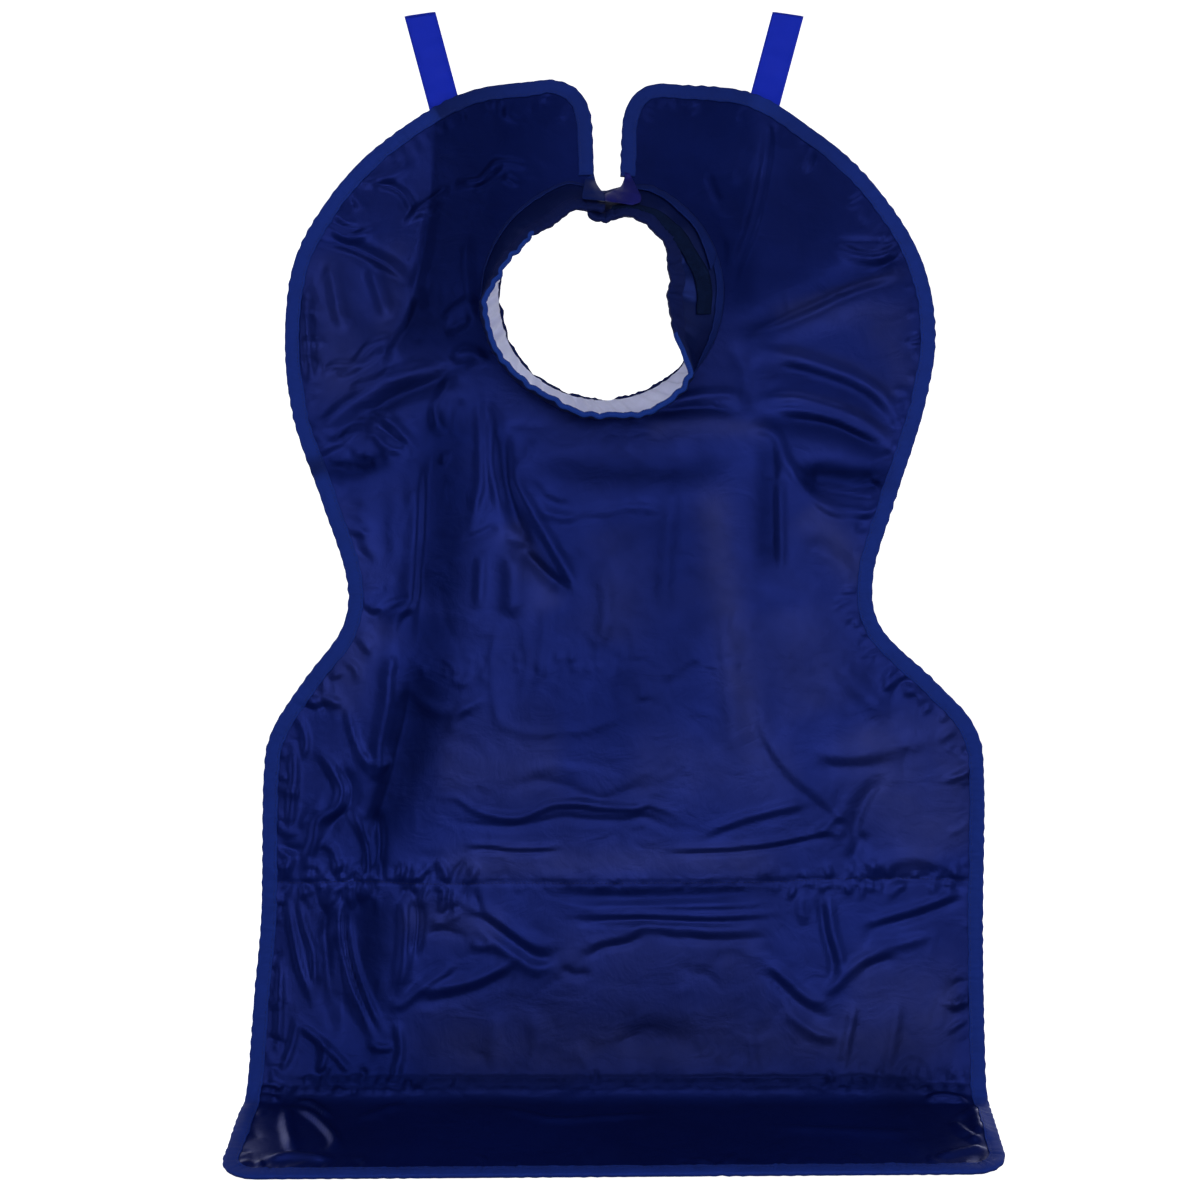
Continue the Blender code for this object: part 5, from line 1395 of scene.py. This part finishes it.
COLLAR_TURNS = np.linspace(COLLAR[0][0], COLLAR[-1][0], 330)
COLLAR_ALONG = np.radians(COLLAR_TURNS - COLLAR_TURNS[0]) * (NECK_HALF_WIDTH + COLLAR_MARGIN)
LINING_SPACING = (COLLAR_THICKNESS + LINING_THICKNESS) / 2 + CLEARANCE
INNER_FACE = LINING_SPACING + LINING_THICKNESS / 2


def two_sided(name, front, back, look, uvs, slot, node=None):
    """A thin closed piece between a front and a back grid of points, (stations, rows, 3)."""
    sections = np.concatenate([front, back[:, ::-1]], 1)
    return tube(name, sections, look, np.concatenate([uvs, uvs[:, ::-1]], 1), node)


def collar_grid(turns, heights, above):
    return on_collar(turns[:, None], heights[None] * rim_height(turns)[:, None] / COLLAR_HEIGHT, above)


def collar_cloth(name, points, heights, reaches, look, slot, node):
    """The collar's wall or its lining. points(turns, heights, reach) gives the grid of one face, and
    reaches has the outer and the inner face's distance from the cloth's middle."""
    grids = [points(COLLAR_TURNS, heights, reach) for reach in reaches]
    made = two_sided(name, *grids, look, grid_uvs(COLLAR_ALONG, heights), slot, node)


def lining_points(turns, heights, above):
    """The lining slants from the wall's inner side to the neck's edge where it is sewn, in soft folds."""
    seat = np.where(heights < 0.0005, 0.0026, heights)[None] * rim_height(turns)[:, None] / COLLAR_HEIGHT
    points = on_collar(turns[:, None], seat, above - LINING_SPACING)
    outward = outward_way(turns)[:, None]
    from_split = np.minimum(turns, 360.0 - turns)
    sewn = np.clip((from_split - TAB_SPLIT_DEG) / TAB_SPLIT_DEG, 0.0, 1.0)
    slack = COLLAR_MARGIN - LINING_SPACING - NECK_EDGE_SHOWS + neck_sag(turns)[:, None]
    share = heights / (COLLAR_HEIGHT - BINDING_WIDTH)
    away = slack * sewn[:, None] * (1 - smoothstep(share))[None]
    slanted = LINING_FOLDS(turns[:, None] + 8.0 * share[None])
    fold = slanted * (np.sin(math.pi * np.clip(share, 0, 1)) ** 0.7)[None] * sewn[:, None]
    return points - outward * (away - fold)[..., None]


LINING_FOLDS = turn_waves(0.0028, 0.014, 64)
collar_cloth(
    "collar_wall_cloth", collar_grid, np.linspace(0.0, COLLAR_HEIGHT - 0.0005, 24),
    (COLLAR_THICKNESS / 2, -COLLAR_THICKNESS / 2 + 0.0002), COLLAR_NAVY, "navy_coated_cloth", "collar_wall",
)
collar_cloth(
    "collar_lining_cloth", lining_points, np.linspace(0.0, COLLAR_HEIGHT - 0.0022, 26),
    (LINING_THICKNESS / 2, -LINING_THICKNESS / 2), LINING, "white_lining", "collar_lining",
)


def rim_place(inside, above):
    return on_collar(COLLAR_TURNS, rim_height(COLLAR_TURNS) - inside, above)


# The rim ribbon: royal, navy on its outer face, and navy all over at the top and right of the rim as
# painted shade
folded_ribbon(
    "collar_rim_ribbon", rim_place, COLLAR_ALONG, BINDING_WIDTH, (COLLAR_THICKNESS / 2, INNER_FACE),
    RIM_ROYAL, "collar_binding", 71, 0.45, RIM_NAVY,
    (COLLAR_TURNS < 122) | (COLLAR_TURNS > 309),
)


def collar_band(name, turns, low, high, reach, thickness, look, slot, node):
    """A strip of tape or ribbon on the collar, between two heights at each turn. reach is the distance
    from the wall's middle to the strip's near side, and is negative on the collar's inner side."""
    share = np.linspace(0.0, 1.0, 7)
    heights = low[:, None] + (high - low)[:, None] * share[None]
    wavy = waves(np.radians(turns) * 0.1, 0.013, 81)[:, None] * 0.0002
    crown = np.sin(math.pi * share)[None] * 0.00025 + wavy
    side = math.copysign(1.0, reach)
    round_turns = np.broadcast_to(turns[:, None], heights.shape)
    outer = on_collar(round_turns, heights, reach + side * (thickness + crown))
    inner = on_collar(round_turns, heights, reach)
    along = np.radians(turns - turns[0]) * (NECK_HALF_WIDTH + COLLAR_MARGIN)
    uvs = np.stack([np.broadcast_to(along[:, None], heights.shape), heights - low[:, None]], -1)
    made = two_sided(name, outer, inner, look, uvs, slot, node)


def collar_at(places):
    """(turns, heights) of the collar's outer face that the front view shows at these places."""
    searched = np.linspace(-8.0, 150.0, 640), np.linspace(0.0, COLLAR_HEIGHT, 120)
    turns, heights = np.meshgrid(*searched, indexing="ij")
    columns, rows = seen_place(on_collar(turns, heights, COLLAR_THICKNESS / 2 + 0.001))
    nearest = [np.hypot(columns - column, rows - row).argmin() for column, row in places]
    return np.stack([turns.ravel()[nearest], heights.ravel()[nearest]], 1)


# The foot band: a narrow one all round, and a wider one with a folded end over it on the right
foot_turns = np.linspace(-8.0, 361.0, 300)
foot_high = 0.0088 + waves(np.radians(foot_turns) * 0.1, 0.02, 82) * 0.0004
collar_band(
    "collar_foot_ribbon", foot_turns, np.full_like(foot_turns, -0.0004), foot_high,
    COLLAR_THICKNESS / 2 + 0.0002, 0.0007, ROYAL, "royal_binding", "collar_foot_band",
)
wide_turns = np.linspace(10.0, 78.0, 80)
wide_end = np.clip((wide_turns - 70.0) / 8.0, 0.0, 1.0)
wide_high = 0.0148 - 0.006 * smoothstep((24.0 - wide_turns) / 14.0)
collar_band(
    "collar_foot_overlap", wide_turns, 0.0002 + wide_end * 0.0135, wide_high,
    COLLAR_THICKNESS / 2 + 0.0010, 0.0007, ROYAL, "royal_binding", None,
)


def loop_tape():
    """The pile tape: it runs from the collar's tip down its right side, and its end is cut straight."""
    each_degree = np.array((0.0018, 1.0))
    edges = []
    for places in (TAPE_OUTER, TAPE_INNER):
        line, walked = evenly(through(collar_at(places) * each_degree, 6), 0.0005)
        edges.append(resampled(line, walked / walked[-1], np.linspace(0.0, 1.0, 110)) / each_degree)
    across = np.linspace(0.0, 1.0, 9)
    grid = edges[0][:, None] * (1 - across[None, :, None]) + edges[1][:, None] * across[None, :, None]
    crown = np.sin(math.pi * across)[None] * 0.0003
    top = on_collar(grid[..., 0], grid[..., 1], COLLAR_THICKNESS / 2 + 0.0013 + crown)
    under = on_collar(grid[..., 0], grid[..., 1], COLLAR_THICKNESS / 2 + 0.0003)
    walked = distance_along(top[:, 4])
    wide = float(np.linalg.norm(top[:, 0] - top[:, -1], axis=1).mean())
    uvs = grid_uvs(walked, np.linspace(0.0, wide, 9))
    made = two_sided("collar_pile_tape", top, under, LOOP_TAPE, uvs, "closure_tape", "collar_loop_tape")


loop_tape()
hook_turns = np.linspace(338.0, 360.5, 40)
collar_band(
    "collar_hook_strip", hook_turns, np.full_like(hook_turns, 0.0130), np.full_like(hook_turns, 0.0350),
    -INNER_FACE - 0.0003, 0.0008, HOOK_TAPE, "closure_tape", "collar_hook_tape",
)


def collar_front(places):
    """The depth of the collar's outer side at each place of the front view, and 0 beside it."""
    turns = np.concatenate([np.linspace(COLLAR[0][0], 40.0, 100), np.linspace(335.0, COLLAR[-1][0], 60)])
    turns, heights = np.meshgrid(turns, np.linspace(0.0, COLLAR_HEIGHT, 26), indexing="ij")
    points = on_collar(turns, heights, COLLAR_THICKNESS / 2 + 0.0019).reshape(-1, 3)
    columns, rows = seen_place(points)
    gap = np.hypot(places[:, :1] - columns, places[:, 1:] - rows)
    return np.where(gap < 3.0, points[:, 1], 0.0).min(1)


def split_corner(name, outlines, look):
    """Bound cloth that closes one side of the split, between two outlines of the front view. It lies on
    the flap at its top and on the collar's foot below."""
    share = np.linspace(0.0, 1.0, 26)
    sides = []
    for outline in outlines:
        line = evenly(through(outline, 6), 0.5)[0]
        sides.append(resampled(line, np.linspace(0.0, 1.0, len(line)), share))
    across = np.linspace(0.0, 1.0, 13)
    places = sides[0][:, None] * (1 - across[None, :, None]) + sides[1][:, None] * across[None, :, None]
    flap_y = np.interp(SPLIT_CORNER_TOP_ROW, PROFILE_ROW, PROFILE_Y) - PANEL_HALF - 0.0012
    depth = np.minimum(flap_y, collar_front(places.reshape(-1, 2)).reshape(places.shape[:2]))
    for _ in range(8):
        wide = np.pad(depth, 1, mode="edge")
        blurred = (wide[:-2, 1:-1] + wide[2:, 1:-1] + wide[1:-1, :-2] + wide[1:-1, 2:]) / 4
        depth = np.minimum(depth, blurred)
    crown = 0.0006 + 0.0012 * np.sin(math.pi * across)[None]
    depth = depth - crown + 0.0004 * np.sin(share * 19.0)[:, None]
    x, z = seen_at(places[..., 0], places[..., 1], depth)
    front = np.stack([x, depth, z], -1)
    back = front + np.array((0.0, SPLIT_CORNER_THICKNESS, 0.0))
    made = two_sided(name, front, back, look, np.stack([x, z], -1), "royal_binding")
    wide = float(np.linalg.norm(np.diff(front, axis=1), axis=2).sum(1).mean())


split_corner("split_corner_right", SPLIT_CORNER_RIGHT, VIOLET_RIBBON)
split_corner("split_corner_left", SPLIT_CORNER_LEFT, ROYAL)


# ---- The ribbon loops ----

LOOP_TOP_SHEAR = 0.0017
LOOP_ROOM = 0.0001
LOOP_HALF = RIBBON_THICKNESS / 2


def ribbon_loop(name, side, node, seed):
    """Satin ribbon: up from behind the panel's edge, over the hanging point, and down behind itself."""
    lean = math.radians(LOOP_LEAN_DEG)
    along = np.array((side * math.sin(lean), 0.0, math.cos(lean)))
    across = np.array((along[2], 0.0, -along[0]))
    radius = LOOP_BEND_RADIUS + LOOP_HALF
    top = np.array((side * LOOP_X, 0.0, LOOP_HALF)) - along * radius
    reaches = on_cloth(EDGE, 0.0)[0] - top
    near_by = (abs(reaches @ across) < LOOP_RIBBON_WIDTH) & (-(reaches @ along) < 2 * LOOP_DROP)
    offsets, drops = reaches[near_by] @ across, -(reaches[near_by] @ along)
    order = offsets.argsort()
    ribbon_sides = (-LOOP_RIBBON_WIDTH / 2, LOOP_RIBBON_WIDTH / 2)
    near, far = sorted(np.interp(ribbon_sides, offsets[order], drops[order]))
    front_behind = PANEL_HALF + RIBBON_THICKNESS + 2 * CLEARANCE + LOOP_ROOM + LOOP_HALF
    back_behind = front_behind + RIBBON_THICKNESS + 2 * CLEARANCE

    def strand(behind, end_y):
        """One side of the loop, from its tucked end up to just under the bend."""
        points = []
        for drop in (far + LOOP_TUCK, far, (near + far) / 2, near - LOOP_SEAT):
            place = top - along * drop
            points.append((place[0], np.interp(-place[2], -PROFILE_Z, PROFILE_Y) + behind, place[2]))
        place = top - along * (near - LOOP_SEAT) * 0.5
        points.append((place[0], points[-1][1] + (end_y - points[-1][1]) * 0.6, place[2]))
        return points

    turns = np.pi * np.linspace(0.0, 1.0, 9)[:, None]
    backward = np.array((0.0, 1.0, 0.0))
    bend = top + (along * np.sin(turns) - backward * np.cos(turns)) * radius
    path = [*strand(front_behind, bend[0][1]), *bend, *strand(back_behind, bend[-1][1])[::-1]]
    path, walked = evenly(through(np.array(path), 6), 0.0015)
    outs = unit(np.cross(unit(np.gradient(path, axis=0)), across))
    shares = np.linspace(-1.0, 1.0, 15)
    height = smoothstep((path[:, 2] + 0.030) / 0.034)[:, None]
    wavy = waves(walked, 0.030, seed)[:, None] * 0.0005 * (1 - height)
    cup = (shares[None] ** 2 - 0.4) * 0.0008 * np.where(path[:, 1:2] < 0.0, 1.0, -1.0) * (1 - height)
    grids = []
    for face in (1.0, -1.0):
        edge = 1.0 - 0.55 * abs(shares[None]) ** 8
        out = face * LOOP_HALF * edge + wavy + cup
        wide = shares[None, :, None] * across * LOOP_RIBBON_WIDTH / 2
        lift = (shares * side)[None] * height * LOOP_TOP_SHEAR
        grid = path[:, None] + wide + outs[:, None] * out[..., None]
        grid = grid + lift[..., None] * along
        grids.append(grid)
    uvs = grid_uvs(walked, (shares + 1) * LOOP_RIBBON_WIDTH / 2)
    made = two_sided(name, grids[0], grids[1], BRIGHT, uvs, "bright_ribbon", node)


ribbon_loop("hanging_loop_left_ribbon", -1, "hanging_loop_left", 91)
ribbon_loop("hanging_loop_right_ribbon", 1, "hanging_loop_right", 92)


# ---- Stitches ----

STITCH_PITCH = 0.0036
STITCH_LENGTH = 0.0027
STITCH_WIDTH = 0.00065
STITCH_HEIGHT = 0.00022
STITCH_FROM_BORDER = 0.0021

# A stitch: (place along it, width, height, sunk) as shares, and (across, rise) round each section
STITCH_PROFILE = (
    (-0.5, 0.25, 0.0, 0.2), (-0.34, 0.85, 0.7, 0.0), (0.0, 1.0, 1.0, 0.0), (0.34, 0.85, 0.7, 0.0),
    (0.5, 0.25, 0.0, 0.2),
)
STITCH_RING = ((-1.0, 0.0), (-0.62, 0.75), (0.0, 1.0), (0.62, 0.75), (1.0, 0.0))


def stitches(name, flat, above, look):
    """Small rounded stitches in a row along a line on the cloth, as one piece."""
    points, normals = on_cloth(flat, above)
    even, along = evenly(points, STITCH_PITCH)
    up = resampled(normals, distance_along(points), along)
    ways = unit(np.gradient(even, axis=0))
    sides = np.cross(up, ways)
    vertices = []
    for at, wide, tall, sunk in STITCH_PROFILE:
        for across, rise in STITCH_RING:
            beside = sides * (across * wide * STITCH_WIDTH / 2)
            above_line = up * ((rise * tall - sunk) * STITCH_HEIGHT)
            vertices.append(even + ways * (at * STITCH_LENGTH) + beside + above_line)
    one = grid_faces(len(STITCH_PROFILE), len(STITCH_RING))
    firsts = np.arange(len(even)) * len(vertices)
    faces = (one[None] + firsts[:, None, None]).reshape(-1, 4)
    make_piece(name, np.stack(vertices, 1).reshape(-1, 3), faces, look)


stitch_inside = BINDING_WIDTH + binding_border(EDGE_ALONG, EDGE_SEED) - STITCH_FROM_BORDER
stitch_line = (EDGE + EDGE_INWARD * stitch_inside[:, None])[3:-3]
stitches("binding_stitches", stitch_line, PANEL_HALF + 0.0008, THREAD)
stitches("seam_stitches", cloth_line(SEAMS[0][2], 0.004), PANEL_HALF, NAVY_THREAD)


# ---- Camera, stage and light ----


def softbox(name, place, target, size, power, colour):
    light = bpy.data.lights.new(name, "AREA")
    light.shape = "RECTANGLE"
    light.size, light.size_y = size
    light.energy = power
    light.color = colour
    made = bpy.data.objects.new(name, light)
    made.location = place
    made.rotation_euler = (Vector(target) - Vector(place)).to_track_quat("-Z", "Y").to_euler()
    bpy.context.scene.collection.objects.link(made)
    return made


def studio_half(name, profile, half, look):
    """The back half (1) or the front half (-1) of the studio. Only the back half shows in gloss, so that
    the softboxes alone draw the folds."""
    turns = np.linspace(0.0, math.pi * half, 49)
    vertices = [(r * math.cos(turn), r * math.sin(turn), z) for turn in turns for r, z in profile]
    mesh = bpy.data.meshes.new(name)
    mesh.from_pydata(vertices, [], grid_faces(len(turns), len(profile)).tolist())
    mesh.materials.append(look)
    mesh.shade_smooth()
    made = bpy.data.objects.new(name, mesh)
    bpy.context.scene.collection.objects.link(made)
    made.visible_glossy = half > 0
    made.visible_diffuse = False


def build_stage():
    """A round white studio: a floor that curves up into a wall."""
    flat, radius, top = 5.5, 1.0, 6.0
    profile = [(0.0, FLOOR_Z)]
    for turn in np.linspace(0.0, math.pi / 2, 9):
        profile.append((flat + radius * math.sin(turn), FLOOR_Z + radius * (1 - math.cos(turn))))
    profile.append((flat + radius, top))
    glow = {"Emission_Color": (1.0, 1.0, 1.0, 1.0), "Emission_Strength": 1.0}
    look = Nodes("studio_white", (0.9, 0.9, 0.9), 0.9, Specular_IOR_Level=0.0, **glow).material
    studio_half("studio_back", profile, 1, look)
    studio_half("studio_front", profile, -1, look)


build_stage()
NEUTRAL = (1.0, 0.99, 1.0)
COOL = (0.97, 0.98, 1.0)
softbox("front_softbox", (0.20, -3.0, -0.56), (0.20, 0.0, -0.56), (1.75, 1.35), 20.0, NEUTRAL)
softbox("high_left_softbox", (-1.0, -3.0, 0.80), (-0.2, 0.0, -0.3), (0.6, 1.0), 8.5, NEUTRAL)
softbox("high_right_softbox", (1.1, -3.0, 0.80), (0.2, 0.0, -0.3), (0.6, 1.0), 3.2, NEUTRAL)
softbox("right_softbox", (2.1, -1.2, -0.55), (0.0, 0.0, -0.55), (1.0, 1.4), 14.0, COOL)
softbox("left_softbox", (-2.1, -1.2, -0.55), (0.0, 0.0, -0.55), (1.0, 1.4), 8.0, COOL)
softbox("top_softbox", (0.0, -1.1, 1.3), (0.0, -0.1, -0.9), (1.6, 0.6), 6.0, COOL)
back_light = softbox("back_softbox", (0.9, 3.0, 0.3), (0.0, 0.0, -0.55), (1.6, 1.2), 22.0, COOL)
back_light.visible_camera = False

world = bpy.data.worlds.new("studio")
world.use_nodes = True
sky = world.node_tree.nodes["Background"].inputs
sky["Color"].default_value = (0.8, 0.85, 1.0, 1.0)
sky["Strength"].default_value = 0.17
bpy.context.scene.world = world
bpy.context.scene.view_settings.view_transform = "Standard"
bpy.context.scene.view_settings.look = "None"

camera = bpy.data.objects.new("camera", bpy.data.cameras.new("camera"))
camera.data.lens = 80.0
camera.data.sensor_width = 36.0
camera.location = (CAMERA_X, -CAMERA_DISTANCE, CAMERA_Z)
camera.rotation_euler = (math.radians(90.0), 0.0, 0.0)
bpy.context.scene.collection.objects.link(camera)
bpy.context.scene.camera = camera
